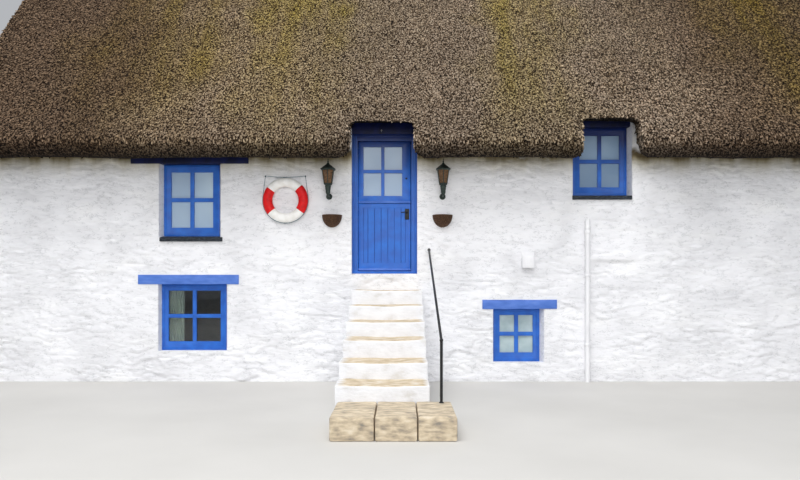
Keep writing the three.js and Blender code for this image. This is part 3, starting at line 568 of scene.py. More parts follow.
def build_chimneys(settings):
    """Each stack up to its shoulder, with its pot and the haunch that beds it."""
    for side, node in ((-1, "chimney_left"), (1, "chimney_right")):
        low, high = corners(node)
        middle = (low + high) / 2
        pot_height = 0.38
        shoulder = high.z - pot_height
        form = cad_copy(node)
        cut_off(form, (0, 0, shoulder + 0.0005), UP)
        rim = [e for e in form.edges if e.is_boundary]
        bmesh.ops.holes_fill(form, edges=rim, sides=0)
        for facing in (FRONT, BACK, LEFT, RIGHT):
            form.normal_update()
            work_into_rubble(form, facing, 0.06, 0.008, 31 + side)
        piece(
            node.replace("chimney", "limewashed_stack"), form, [brushed_limewash],
            smooth=50, stands_for=[node],
        )
        pot = bmesh.new()
        outline = [
            (0.092, -0.01), (0.092, 0.34), (0.094, 0.372), (0.104, pot_height), (0.126, 0.378),
            (0.134, 0.366), (0.134, 0.33), (0.127, 0.318), (0.118, 0.31), (0.116, 0.28),
            (0.121, 0.12), (0.127, 0.05), (0.135, 0.04), (0.135, -0.01), (0.092, -0.01),
        ]
        add_turned(pot, outline, Vector((middle.x, middle.y, shoulder)), steps=40)
        piece(node.replace("chimney", "clay_pot"), pot, [fired_clay], smooth=40)
        bed = bmesh.new()
        haunch = [
            (0.13, -0.01), (0.132, 0.075), (0.15, 0.07), (0.2, 0.045), (0.3, 0.018), (0.4, 0.004),
            (0.42, -0.01), (0.13, -0.01),
        ]
        add_turned(bed, haunch, Vector((middle.x, middle.y, shoulder)), steps=40)
        for vert in bed.verts:
            vert.co.z += noise.noise(vert.co * 9) * 0.006
        piece(
            node.replace("chimney", "pot_bedding"), bed, [brushed_limewash],
            smooth=50,
        )


# Floors


def pine_boards(settings):
    """Oiled pine floorboards 140 mm wide: warm brown, grain along them, dark joints."""
    look, add, point = start_material(Roughness=0.55)
    boards = add(
        "TexBrick", point, linear("8C6A46"), linear("A27E55"), linear("2E2118"), 1.0, 0.004,
        **{"Brick Width": 2.4, "Row Height": 0.14},
    )
    along = add("TexNoise", add("Mapping", point, Scale=(0.08, 1, 1)), 1 / 0.012, 5)
    streaks = add("ValToRGB", along, ramp=[(0.35, "6F5133"), (0.7, "B08C62")])
    joints = boards.node.outputs["Fac"]
    relief = add("Bump", Height=joints, Distance=0.003, Strength=0.8, invert=True)
    return wired(look, add("Mix", 0.4, boards, streaks, **OVER), relief)


def slate_flags(settings):
    """Worn slate flagstones about 600 by 450 mm, bedded in pale mortar."""
    look, add, point = start_material(Roughness=0.6)
    flags = add(
        "TexBrick", point, linear("5C5A56"), linear("74716B"), linear("A8A298"), 1.0, 0.012,
        **{"Brick Width": 0.6, "Row Height": 0.45},
    )
    cloud = add(
        "ValToRGB", add("TexNoise", point, 1 / 0.2, 6), ramp=[(0.3, "5A5752"), (0.75, "8E8A82")],
    )
    joints = flags.node.outputs["Fac"]
    relief = add("Bump", Height=joints, Distance=0.006, Strength=0.8, invert=True)
    return wired(look, add("Mix", 0.5, flags, cloud, **OVER), relief)


def build_floors(settings):
    """The upper floor's boards and the ground floor's flags."""
    paint_node("upper_floor", pine_boards)
    paint_node("ground_floor", slate_flags)


# Thatch


def weathered_reed(settings):
    """Weathered reed: matt grey-brown, speckled with painted shade between the butts and painted
    highlights on their tips.

    Where the reed turns in under the slope, as in the notches, it is painted dark as shade.
    """
    look, add, point = start_material(Roughness=0.95, Specular_IOR_Level=0.15)
    side, height = add("SeparateXYZ", point, out="X"), add("SeparateXYZ", point, out="Z")
    flecks = add("Mapping", point, Scale=(1, 0.75, 0.75))
    speck = add("TexNoise", flecks, 1 / settings.reed_speck, 2, 0.7)
    # The speck's dark end is painted shade between the butts, its pale end a painted highlight on their
    # tips.
    body = add(
        "ValToRGB", speck,
        ramp=[(0.41, "0A0704"), (0.48, "624F3C"), (0.53, "B6A188"), (0.6, "FFF2DE")],
    )
    # reed_tone holds each reed's painted light and shade, from reed_coat.
    reed = add(
        "ValToRGB", add("Attribute", attribute_name="reed_tone", out="Fac"),
        ramp=[(0.0, "0C0805"), (0.38, "30251A"), (0.5, "9A856B"), (0.62, "EEDCC4"), (1.0, "FFF4E2")],
    )
    mixed = add("Mix", 0.45, reed, body, **OVER)
    wet = add("TexNoise", add("Mapping", point, Scale=(1, 0.14, 0.14)), 1 / 0.5, 4, 0.6)
    damp = add("ValToRGB", wet, ramp=[(0.36, 0.3), (0.64, 1.0)])
    wander = add("MapRange", add("TexNoise", point, 1 / 1.1, 3), 0.3, 0.7, -0.45, 0.45)
    place = add("Math", side, wander, operation="ADD")
    share = add("MapRange", place, LEFT_END - 0.3, RIGHT_END + 0.3, 0, 1)
    runs = add(
        "ValToRGB", share,
        ramp=[
            (0.08, 0.1), (0.16, 0.8), (0.21, 0.8), (0.26, 0.3), (0.31, 1.0), (0.36, 1.0),
            (0.41, 0.15), (0.53, 0.1), (0.57, 0.9), (0.61, 0.9), (0.66, 0.15), (0.8, 0.2),
            (0.86, 1.0), (0.96, 0.3),
        ],
    )
    rise = add("MapRange", height, 3.4, 4.6, 0.3, 1)
    bands = add("Mix", 1.0, damp, runs, **TIMES)
    moss = add("Math", bands, rise, operation="MULTIPLY")
    yellowed = add("Mix", 1.0, mixed, linear("FFFF9C"), **TIMES)
    mossy = add("Mix", moss, mixed, yellowed, **OVER)
    clouds = add(
        "ValToRGB", add("TexNoise", point, 1 / 1.8, 4), ramp=[(0.3, "D3CAC4"), (0.7, "E9DFD9")],
    )
    # Darker towards both ends of the slopes, and lower down towards their foot.
    end_darkening = add(
        "ValToRGB", share,
        ramp=[
            (0.05, "BCB0A6"), (0.14, "C6BAB0"), (0.24, "FAF6F2"), (0.4, "FFFFFF"),
            (0.66, "FFFFFF"), (0.8, "CEC4BC"), (0.95, "BCB2AA"),
        ],
    )
    foot_darkening = add("MapRange", height, 3.1, 3.9, 0.78, 1)
    ends_and_foot_darkening = add("Mix", 1.0, end_darkening, foot_darkening, **TIMES)
    # Painted shade: the reed darkens with its depth under the slope's face, as in the notches.
    above = (0, math.sin(PITCH), math.cos(PITCH))
    outward = add("VectorMath", point, operation="ABSOLUTE")
    depth = add("VectorMath", outward, above, operation="DOT_PRODUCT")
    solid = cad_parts["thatch_front_slope"].data
    slope = max(abs(v.co.y) * above[1] + v.co.z * above[2] for v in solid.vertices)
    recess_shade = add("MapRange", depth, slope - 0.34, slope - 0.06, 0.12, 1)
    recess_shaded = add("Mix", 1.0, ends_and_foot_darkening, recess_shade, **TIMES)
    shaded = add("Mix", 1.0, clouds, recess_shaded, **TIMES)
    relief = add("Bump", Height=speck, Distance=0.03, Strength=0.8)
    return wired(look, add("Mix", 1.0, mossy, shaded, **TIMES), relief)


def even_mesh(form, voxel):
    """The same body made of even small faces."""
    mesh = bpy.data.meshes.new("grid")
    form.to_mesh(mesh)
    form.free()
    carrier = in_scene("grid", mesh)
    grid = carrier.modifiers.new("grid", "REMESH")
    grid.mode = "VOXEL"
    grid.voxel_size = voxel
    even = bmesh.new()
    even.from_object(carrier, bpy.context.evaluated_depsgraph_get())
    bpy.data.objects.remove(carrier)
    bpy.data.meshes.remove(mesh)
    return even


def thatch_body(node, name, voxel, seed):
    """The body of a thatched part, slightly uneven over its solid's own surface."""
    form = cad_copy(node)
    surface = BVHTree.FromBMesh(form)
    form = even_mesh(form, voxel)
    for _ in range(2):
        bmesh.ops.smooth_vert(
            form, verts=form.verts, factor=0.5, use_axis_x=True, use_axis_y=True, use_axis_z=True,
        )
    for vert in form.verts:
        vert.co = surface.find_nearest(vert.co)[0]
    form.normal_update()
    swell, lumps, sunk = 0.016, 0.008, 0.008
    for vert in form.verts:
        wave = noise.fractal(vert.co * 0.9 + Vector((0, 0, seed)), 1.0, 2.0, 3) * swell
        tuft = noise.noise(vert.co * 8 + Vector((seed, 0, 0))) * lumps
        vert.co += vert.normal * (wave + tuft - sunk)
    return piece(name, form, [weathered_reed], stands_for=[node], smooth=70)


def reed_coat(name, body, count, seed, fall, keep, length=0.085, width=0.016):
    """Cut reeds over a thatched body, each a thin wedge that widens to its butt.

    fall gives the way that water runs for arrays of centres, and keep the share of each face.
    The reeds stand in tufts, with painted light and shade: proud ones are pale, sunken ones and those
    facing down dark, each darker at its root and paler along its top edge.
    """
    mesh = body.data
    total = len(mesh.polygons)
    centres, normals, areas = np.empty(total * 3), np.empty(total * 3), np.empty(total)
    mesh.polygons.foreach_get("center", centres)
    mesh.polygons.foreach_get("normal", normals)
    mesh.polygons.foreach_get("area", areas)
    centres, normals = centres.reshape(-1, 3), normals.reshape(-1, 3)
    weights = areas * keep(centres, normals)
    dice = np.random.default_rng(seed)
    chosen = dice.choice(total, count, p=weights / weights.sum())
    normal, down = normals[chosen], fall(centres[chosen])

    def unit(vectors):
        return vectors / np.maximum(np.linalg.norm(vectors, axis=1, keepdims=True), 1e-9)

    def scatter(low, high):
        return dice.uniform(low, high, (count, 1))

    tangent = down - (down * normal).sum(1, keepdims=True) * normal
    steep = np.linalg.norm(tangent, axis=1, keepdims=True)
    lift = scatter(0.05, 0.32) + np.clip(0.4 - steep, 0, 1) * 4
    aside = unit(np.cross(normal, down) + 1e-6)
    axis = unit(tangent + normal * lift + aside * dice.normal(0, 0.13, (count, 1)))
    side = unit(np.cross(axis, normal) + aside * 0.05)
    over = np.cross(side, axis)
    reach = np.sqrt(areas[chosen])[:, None] * 0.55
    spot = centres[chosen] + side * scatter(-1, 1) * reach
    spot += np.cross(side, normal) * scatter(-1, 1) * reach
    tuft = np.array([[noise.noise(Vector(place) * TUFTS)] for place in spot])
    spot += normal * tuft * TUFT_RELIEF
    long = length * scatter(0.7, 1.3)
    wide = width * scatter(0.7, 1.4)
    root = spot - axis * long * (1 - BUTT_SHARE) - normal * ROOT_DEPTH
    butt = spot + axis * long * BUTT_SHARE
    points = np.stack(
        [root, butt + side * wide / 2, butt - side * wide / 2, butt + over * wide * 0.8], axis=1,
    )
    pattern = np.array([[0, 1, 3], [0, 3, 2], [0, 2, 1], [1, 2, 3]])
    faces = (np.arange(count)[:, None, None] * 4 + pattern).reshape(-1, 3)
    reeds = bpy.data.meshes.new(name)
    reeds.from_pydata(points.reshape(-1, 3), [], faces)
    # Painted light and shade: reeds facing down are darkened, and a tuft's height lightens or darkens its
    # reeds.
    overhang_shade = np.clip(1 + 1.3 * normal[:, 2:3], 0.15, 1)
    uneven = dice.normal(0, 0.2, (count, 1))
    tone = np.clip(0.5 + TUFT_CONTRAST * tuft + uneven, 0, 1) * overhang_shade
    # Each reed's root is painted darker as shade, and its top edge lighter as a painted highlight.
    root_shade_and_tip_light = np.concatenate([tone * 0.3, tone, tone, np.minimum(tone * 1.1 + 0.05, 1)], axis=1)
    layer = reeds.attributes.new("reed_tone", "FLOAT", "POINT")
    layer.data.foreach_set("value", root_shade_and_tip_light.ravel())
    reeds.materials.append(finish(weathered_reed))
    return settle(in_scene(name, reeds))


def down_slope(centres):
    """The way down a slope: out and down on the side of the ridge that a point is on."""
    outward = np.sign(centres[:, 1:2])
    flat = np.zeros_like(centres[:, :1])
    return np.concatenate([flat, outward * math.cos(PITCH), flat - math.sin(PITCH)], axis=1)


def weathered_side(low, high):
    """Which faces of a slope the weather reaches between two places along the ridge."""
    wall = abs(FRONT_FACE)

    def share(centres, normals):
        across, y, _ = centres.T
        outward = np.sign(y)
        above = normals[:, 1] * outward * math.sin(PITCH) + normals[:, 2] * math.cos(PITCH)
        lip = (np.abs(y) > wall - 0.02) & (normals[:, 2] > -0.75)
        ends = (np.abs(across) > RIGHT_END + 0.02) & (np.abs(normals[:, 0]) > 0.5)
        inside = (across >= low) & (across < high)
        return ((above > 0.25) | lip | ends) * inside + 1e-12

    return share


def build_thatch(settings):
    """The thatch's two slopes and ridge, each a body under a coat of cut reeds."""
    front = thatch_body("thatch_front_slope", "front_thatch", settings.thatch_voxel, 5.0)
    back = thatch_body("thatch_back_slope", "back_thatch", settings.thatch_voxel * 1.6, 9.0)
    ridge = thatch_body("thatch_ridge", "ridge_thatch", settings.thatch_voxel, 13.0)
    far = RIGHT_END + 1
    middle = 0.0
    count = settings.reeds
    reed_coat("front_reeds_left", front, count, 1, down_slope, weathered_side(-far, middle))
    reed_coat("front_reeds_right", front, count, 2, down_slope, weathered_side(middle, far))
    whole = weathered_side(-far, far)
    reed_coat("back_reeds", back, int(count * 0.7), 3, down_slope, whole, 0.17, 0.026)
    reed_coat("ridge_reeds", ridge, int(count * 0.32), 4, down_slope, whole, 0.15, 0.02)


# Painted timber


def blue_gloss(settings):
    """Oil gloss on softwood: a clear blue, dulled by the weather, and painted dark navy near the eaves as
    the thatch's shade.
    """
    look, add, point = start_material(Roughness=0.42, Specular_IOR_Level=0.36)
    chalk = add("TexNoise", point, 1 / 0.15, 5)
    share = add("ValToRGB", chalk, ramp=[(0.35, 0.0), (0.7, 1.0)])
    colour = add("Mix", share, settings.paint_shade, settings.paint_light, **OVER)
    # Painted shade: from 3.0 m up the blue turns navy, as the thatch's shade.
    thatch_shade = add("MapRange", add("SeparateXYZ", point, out="Z"), 3.0, 3.5, 0, 0.9)
    thatch_shaded = add("Mix", thatch_shade, colour, linear("0A1650"), **OVER)
    marks = add("TexNoise", add("Mapping", point, Scale=(1, 1, 0.12)), 1 / 0.004, 3)
    relief = add("Bump", Height=marks, Distance=0.0006, Strength=0.5)
    return wired(look, thatch_shaded, relief, add("MapRange", chalk, 0.3, 0.7, 0.36, 0.52))


def shade_navy_gloss(settings):
    """The same gloss close under the thatch, painted dark navy as the thatch's shade."""
    look, add, point = start_material(Roughness=0.5, Specular_IOR_Level=0.25)
    shade_mottle = add("TexNoise", add("Mapping", point, Scale=(1, 1, 0.5)), 1 / 0.12, 5)
    marks = add("TexNoise", add("Mapping", point, Scale=(0.12, 1, 1)), 1 / 0.004, 3)
    relief = add("Bump", Height=marks, Distance=0.0006, Strength=0.5)
    return wired(look, add("ValToRGB", shade_mottle, ramp=[(0.3, "060A22"), (0.7, "0E1A50")]), relief)


def chalk_and_highlight_gloss(settings):
    """The same gloss in a paler, sun-chalked blue on the low lintels, and on the drip boards as a painted
    highlight.
    """
    return speckled(
        0.05, 5, [(0.3, "406BBF"), (0.6, "527BCF"), (0.8, "698AD1")], (0.001, 0.5, 0.01, 4),
        (0.3, 1, 1), Roughness=0.55,
    )


def lengthways(form):
    """The edges that run along x."""
    return [e for e in form.edges if abs((e.verts[0].co - e.verts[1].co).normalized().x) > 0.9]


def build_lintels(settings):
    """The hewn and painted lintels, each a little out of true."""
    hewn = {
        "upper_left_window_lintel": ("painted_lintel_upper_left", 0.004),
        "lower_left_window_lintel": ("painted_lintel_lower_left", 0.003),
        "lower_right_window_lintel": ("painted_lintel_lower_right", 0.006),
        "upper_right_window_lintel": ("painted_head_upper_right", 0.003),
        "door_lintel": ("painted_head_over_door", 0.003),
    }
    for seed, (node, (name, wander)) in enumerate(hewn.items()):
        form = cad_copy(node)
        bmesh.ops.subdivide_edges(form, edges=lengthways(form), cuts=24, use_grid_fill=True)
        ease(form, 0.006)
        for vert in form.verts:
            if vert.co.y < FRONT_FACE + 0.11:
                lean = noise.noise_vector(Vector((vert.co.x * 5, seed * 7, vert.co.z * 3)))
                vert.co.z += lean.z * wander
                vert.co.y += min(lean.y, 0.2) * wander
        # The low lintels take the paler gloss; the high ones, in the thatch's shade, take the navy gloss
        # painted as shade.
        low_down = node.startswith("lower")
        maker = chalk_and_highlight_gloss if low_down else shade_navy_gloss
        piece(name, form, [maker], stands_for=[node], smooth=35)


def riven_slate(settings):
    """Riven slate: dark green-grey, dull, with worn pale arrises."""
    return speckled(
        0.03, 5, [(0.3, "0C1013"), (0.5, "1E242C"), (0.72, "555D67")], (0.003, 0.7, 0.012, 5),
        (1, 1, 5), Roughness=0.7, Specular_IOR_Level=0.3,
    )


def build_sills(settings):
    """The two slate sills, with their front arrises broken."""
    for seed, place in enumerate(("upper_left", "upper_right")):
        form = cad_copy(place + "_window_sill")
        bmesh.ops.subdivide_edges(form, edges=lengthways(form), cuts=20, use_grid_fill=True)
        ease(form, 0.005)
        for vert in form.verts:
            if vert.co.y < FRONT_FACE:
                rough = noise.noise_vector(Vector((vert.co.x * 22, vert.co.z * 12, seed * 5)))
                vert.co.y += abs(rough.x) * 0.008
                vert.co.z += rough.z * 0.003
        piece(
            "slate_sill_" + place, form, [riven_slate],
            stands_for=[place + "_window_sill"], smooth=35,
        )


def sky_pane(settings, colours=((0.3, "AEC5DD"), (0.7, "CAE0EF"))):
    """Float glass whose smooth grey-blue is a painted reflection of an overcast sky, barely rippled."""
    return speckled(
        0.8, 2, colours, (0.003, 0.4, 0.25, 1), Roughness=0.06, IOR=1.5,
        Transmission_Weight=0.12, Specular_IOR_Level=0.6,
    )


def shaded_sky_pane(settings):
    """Float glass whose painted reflection of the sky is darkened as painted shade: smooth blue-grey."""
    return sky_pane(settings, ((0.3, "829DBA"), (0.7, "9AB3CD")))


def clear_pane(settings):
    """Clear float glass with a dark room behind it."""
    return speckled(
        0.2, 3, [(0.3, "D5DEDF"), (0.7, "EEF3F2")], (0.002, 0.3, 0.3, 1), Roughness=0.02,
        IOR=1.5, Transmission_Weight=1.0, Specular_IOR_Level=0.3,
    )


def misted_pane(settings):
    """Glass with a bloom of condensation, which veils the net behind it in pale blue-grey."""
    return speckled(
        0.15, 4, [(0.3, "B4CCD0"), (0.7, "D6E8E9")], (0.001, 0.3), Roughness=0.25, IOR=1.5,
        Transmission_Weight=0.3,
    )


def build_windows(settings):
    """The window frames with eased arrises, and the finish of their glass."""
    # Upper left: the painted sky reflection; glass not listed here takes the darker one, painted as
    # shade.
    panes = {
        "upper_left": sky_pane, "lower_left": clear_pane, "lower_right": misted_pane,
        "back_lower": clear_pane,
    }
    for place in WINDOWS:
        form = cad_copy(place + "_window_frame")
        ease(form, 0.003)
        piece(
            "painted_" + place + "_window", form, [blue_gloss],
            stands_for=[place + "_window_frame"], smooth=35,
        )
        paint_node(place + "_window_glass", panes.get(place, shaded_sky_pane))


# Door


def satin_iron(settings):
    """Wrought iron under satin black paint, a little brown where the paint is thin."""
    look, add, point = start_material(Roughness=0.45, Metallic=0.3)
    wear = add("TexNoise", point, 1 / 0.02, 5)
    hammered = add("TexNoise", point, 1 / 0.006, 3)
    relief = add("Bump", Height=hammered, Distance=0.0006, Strength=0.5)
    colour = add("ValToRGB", wear, ramp=[(0.5, "15171A"), (0.72, "2A2622")])
    return wired(look, colour, relief, add("MapRange", wear, 0.3, 0.7, 0.35, 0.6))


def galvanised_wire(settings):
    """Zinc-plated wire: pale grey and slightly dull."""
    return speckled(0.004, 3, [(0.4, "B9BDC0"), (0.7, "DDE0E2")], Roughness=0.4, Metallic=0.8)


def joint_grime_and_shade(settings):
    """Blue gloss in the joints between boards and in the frame's quirks, darkened to navy by grime and
    painted shade.
    """
    return speckled(0.05, 4, [(0.3, "2B529E"), (0.7, "3E68B8")], stretch=(1, 1, 0.2), Roughness=0.7)


def build_door_frame(settings):
    """The door frame, its beads and quirks, and the hook over the door."""
    form = cad_copy("door_frame")
    ease(form, 0.003)
    low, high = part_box("door_frame")
    piece(
        "painted_door_frame", form, [blue_gloss],
        stands_for=["door_frame"], smooth=30,
    )
    beads = bmesh.new()
    face = low[1]
    foot, head = low[2] + 0.04, high[2] - 0.02
    bead = (0.018, 0.036)
    quirks = ((0.009, 0.019), (0.035, 0.045), (0.057, 0.066))
    front, back = face - 0.007, face + 0.002
    for edge, way in ((low[0], 1), (high[0], -1)):
        left, right = sorted(edge + way * reach for reach in bead)
        eased_block(beads, (left, front, foot), (right, back, head), 0.003)
        for quirk in quirks:
            left, right = sorted(edge + way * reach for reach in quirk)
            # The quirks take the joint gloss: grime and painted shade in the grooves.
            add_block(beads, (left, face - 0.0012, foot), (right, face + 0.001, head), 1)
    eased_block(
        beads, (low[0] + bead[0], front, high[2] - bead[1]),
        (high[0] - bead[0], back, high[2] - bead[0]), 0.003,
    )
    piece("door_frame_beads", beads, [blue_gloss, joint_grime_and_shade], smooth=40)
    hook = bmesh.new()
    centre = Vector((-0.967, FRONT_FACE + 0.1, 3.6))
    turn = [
        centre + Vector((0, -0.012 - 0.012 * math.sin(a), 0.012 * math.cos(a)))
        for a in np.linspace(0, math.radians(250), 14)
    ]
    add_tubes(hook, [[centre + Vector((0, 0.006, 0.012)), *turn]], 0.0025)
    add_turned(
        hook, [(0, -0.006), (0.009, -0.005), (0.011, 0), (0.011, 0.002)],
        centre + Vector((0, 0, 0.012)), axis=BACK, steps=20,
    )
    piece("hook_over_door", hook, [galvanised_wire], smooth=40)


def build_door_leaves(settings):
    """Both leaves, with the lower one's boards and the upper one's keyhole."""
    drip_chamfer, stile, bottom_rail, board = 0.014, 0.072, 0.115, 0.096
    lower_low, lower_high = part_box("door_lower_leaf")
    upper_low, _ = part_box("door_upper_leaf")
    for node, name, body in (
        ("door_lower_leaf", "painted_lower_leaf", LOWER_LEAF),
        ("door_upper_leaf", "painted_upper_leaf", UPPER_LEAF),
    ):
        form = cad_copy(node)
        low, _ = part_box(node)
        drip_arris = [
            e for e in lengthways(form)
            if all(v.co.y < low[1] + 1e-4 and v.co.z > low[2] + 0.02 for v in e.verts)
        ]
        bevelled(form, drip_arris, drip_chamfer, 1, clamp=False)
        ease(form, 0.0025)
        # The drip board's front and its chamfer take the paler gloss, as a painted highlight.
        for face in form.faces:
            centre = face.calc_center_median()
            face.material_index = int(centre.y < low[1] + 0.014 and centre.z > low[2] + 0.004)
        piece(
            name, form, [blue_gloss, chalk_and_highlight_gloss], body=body,
            stands_for=[node], smooth=35,
        )
    face = lower_low[1] + DRIP_REACH
    left, right = lower_low[0] + stile, lower_high[0] - stile
    foot, head = lower_low[2] + bottom_rail, lower_high[2] - stile
    boards = bmesh.new()
    middle = (left + right) / 2
    joints = [left, *[middle + (i - 2.5) * board for i in range(6)], right]
    for start, end in zip(joints, joints[1:]):
        verts = add_block(boards, (start, face + 0.0025, foot), (end, face + 0.0085, head))
        uprights = once_each(
            e for v in verts for e in v.link_edges
            if abs((e.verts[0].co - e.verts[1].co).z) > 0.5 and e.verts[0].co.y < face + 0.004
        )
        # The vees' slopes take the joint gloss: grime and painted shade.
        for slope in bevelled(boards, uprights, 0.0058, 1, clamp=False):
            slope.material_index = 1
    piece("vee_jointed_boards", boards, [blue_gloss, joint_grime_and_shade], body=LOWER_LEAF)
    keyhole = bmesh.new()
    centre = Vector((-0.607, upper_low[1] + DRIP_REACH, 2.921))
    outline = [
        (0, -0.004), (0.004, -0.004), (0.0045, -0.0015), (0.012, -0.003), (0.0145, 0),
        (0.0145, 0.002),
    ]
    add_turned(keyhole, outline, centre, axis=BACK, steps=24)
    piece("upper_leaf_keyhole", keyhole, [satin_iron], body=UPPER_LEAF, smooth=40)
    paint_node("door_glass", shaded_sky_pane)


def build_door_handle(settings):
    """The lever handle: a plate, a rose and a lever on each side of the leaf."""
    low, high = corners("door_handle")
    plate_left, plate_right = -0.629, -0.567
    spindle = Vector(((plate_left + plate_right) / 2, 0, 2.429))
    leaf_low, leaf_high = corners("door_lower_leaf")
    outside, inside = leaf_low.y + DRIP_REACH, leaf_high.y
    form = bmesh.new()
    for face, way in ((outside, -1), (inside, 1)):
        sides = sorted((face, face + way * 0.006))
        eased_block(form, (plate_left, sides[0], 2.326), (plate_right, sides[1], 2.481), 0.0018)
        out = Vector((0, way, 0))
        add_turned(
            form, [(0, 0.03), (0.011, 0.03), (0.011, 0.012), (0.017, 0.008), (0.018, 0.004)],
            spindle + Vector((0, face, 0)), axis=out, steps=24,
        )
        reach = abs((low.y if way < 0 else high.y) - face) - 0.009
        lever = [
            (0, 0.02, 0), (0, reach - 0.008, 0), (-0.008, reach, 0), (-0.04, reach, 0.001),
            (-0.07, reach - 0.002, -0.001), (-0.088, reach - 0.006, -0.003),
        ]
        route = [spindle + Vector((x, face + way * y, z)) for x, y, z in lever]
        add_tubes(form, [route], 0.0075, sides=12)
        for height in (2.34, 2.467):
            add_turned(
                form, [(0, 0.0078), (0.004, 0.0073), (0.0055, 0.0055)],
                Vector((spindle.x, face, height)), axis=out, steps=16,
            )
    piece(
        "lever_handle", form, [satin_iron], body=LOWER_LEAF,
        stands_for=["door_handle"], smooth=35,
    )


# Steps and handrail


def worn_treads(settings):
    """Painted stone treads: tan stone worn bare where people tread, white left at the sides."""
    look, add, point = start_material(Roughness=0.85)
    patch = add("TexNoise", add("Mapping", point, Scale=(1, 1.6, 1)), 1 / 0.12, 5)
    stone = add("ValToRGB", patch, ramp=[(0.3, "A8977B"), (0.5, "CDBB9F"), (0.72, "DED3BF")])
    side = add("SeparateXYZ", point, out="X")
    low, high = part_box("entrance_steps")
    left = add("MapRange", side, low[0], low[0] + 0.1, 1, 0)
    right = add("MapRange", side, high[0] - 0.07, high[0], 0, 1)
    edge = add("Math", left, right, operation="ADD", use_clamp=True)
    drift = add("MapRange", patch, 0.35, 0.65, -0.25, 0.25)
    ragged = add("Math", edge, drift, operation="ADD", use_clamp=True)
    grit = add("TexNoise", point, 1 / 0.02, 6)
    relief = add("Bump", Height=grit, Distance=0.003, Strength=0.6)
    return wired(look, add("Mix", ragged, stone, linear("DCDCDD"), **OVER), relief)


def bare_flagstone(settings):
    """Sandy flagstone left bare: tan and grey, and gritty."""
    return speckled(
        0.1, 6, [(0.28, "8C857A"), (0.42, "B3A48E"), (0.56, "CDBDA2"), (0.75, "DFD3BF")],
        (0.004, 0.7, 0.015, 6), (1, 2.5, 2.5), Roughness=0.9,
    )


def build_steps(settings):
    """The steps with dished treads, and the landing's three flagstones."""
    form = cad_copy("entrance_steps")
    low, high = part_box("entrance_steps")
    nosings = [e for e in lengthways(form) if e.is_convex and e.verts[0].co.z > 0.01]
    bevelled(form, nosings, 0.022, 4, clamp=False)
    form.normal_update()
    seen = [f for f in form.faces if f.normal.y < -0.05 or f.normal.z > 0.05]
    cut_across(form, seen, 0, 0.04)
    form.normal_update()
    for face in form.faces:
        face.material_index = 1 if face.normal.z > 0.75 else 0
    for vert in form.verts:
        if vert.co.z < 0.01 or vert.co.y > FRONT_FACE - 0.01:
            continue
        across = (vert.co.x - low[0]) / (high[0] - low[0])
        dish = 0.008 * math.sin(math.pi * across) ** 2
        rough = noise.noise_vector(Vector((vert.co.x * 4, vert.co.y * 6, vert.co.z * 6)))
        vert.co.z += rough.z * 0.006 - dish
        vert.co.y += rough.y * 0.006
    piece(
        "limewashed_steps", form, [trodden_limewash, worn_treads],
        stands_for=["entrance_steps"], smooth=50,
    )

    low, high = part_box("landing_step")
    slabs = bmesh.new()
    joints = [low[0], low[0] + 0.41, low[0] + 0.8, high[0]]
    for start, end in zip(joints, joints[1:]):
        eased_block(slabs, (start + 0.004, low[1], low[2]), (end - 0.004, high[1], high[2]), 0.018)
    bmesh.ops.subdivide_edges(
        slabs, edges=[e for e in slabs.edges if e.calc_length() > 0.12], cuts=6, use_grid_fill=True,
    )
    for vert in slabs.verts:
        if vert.co.z > low[2] + 0.01:
            rough = noise.noise_vector(vert.co * 5)
            vert.co.z -= abs(rough.z) * 0.012
            if vert.co.y < high[1] - 0.05:
                vert.co.y += abs(rough.y) * 0.012
    piece(
        "landing_flagstones", slabs, [bare_flagstone],
        stands_for=["landing_step"], smooth=40,
    )


def build_handrail(settings):
    """The rail from its flange on the wall down to its knobbed post."""
    low, high = corners("handrail")
    across = (low.x + high.x) / 2
    wall = high.y
    wall_height = 1.88
    run, fall = 3.0, 0.344
    rail, post = 0.014, 0.015
    clear = 0.005
    top = Vector((across, wall - clear, wall_height - fall * clear))
    end = Vector((across, wall - run, wall_height - fall * run))
    foot = Vector((across, wall - run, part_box("landing_step")[1][2]))
    form = bmesh.new()
    add_tubes(form, [[top.lerp(end, t) for t in np.linspace(0, 1, 12)]], rail, sides=16)
    add_tubes(form, [[foot - UP * 0.006, foot + UP * 0.2, end]], post, sides=16)
    knob = [(0.019 * math.cos(a), 0.019 * math.sin(a)) for a in np.linspace(1.5, -1.0, 10)]
    add_turned(form, [*knob, (0.0145, -0.024)], end, steps=24)
    add_turned(
        form, [(0.0165, 0.011), (0.0185, 0.007), (0.0215, 0.005), (0.022, 0.003), (0.022, 0)],
        Vector((across, wall, wall_height)), axis=FRONT, steps=32,
    )
    add_turned(
        form, [(0.0165, 0.012), (0.0185, 0.006), (0.0245, 0.004), (0.025, 0.002), (0.025, -0.004)],
        foot, steps=32,
    )
    piece("forged_handrail", form, [satin_iron], stands_for=["handrail"], smooth=40)


# Lanterns


def green_cast_iron(settings):
    """Cast iron under old dark green paint, dusty in its hollows."""
    return speckled(
        0.03, 5, [(0.35, "1E2A26"), (0.6, "2C3B35"), (0.8, "5A6A62")], (0.0008, 0.6, 0.005, 4),
        Roughness=0.5, Metallic=0.2,
    )


def amber_pane(settings):
    """Amber cathedral glass, rippled, with a dull lamp behind it."""
    return speckled(
        0.02, 3, [(0.3, "5E422B"), (0.7, "96714C")], (0.002, 0.6), Roughness=0.25, IOR=1.5,
        Transmission_Weight=0.35,
    )


def opal_bulb(settings):
    """Opal glass bulb: milky white and glossy."""
    return speckled(0.03, 3, [(0.3, "E9E0CC"), (0.7, "F6F0E2")], Roughness=0.15, IOR=1.5)


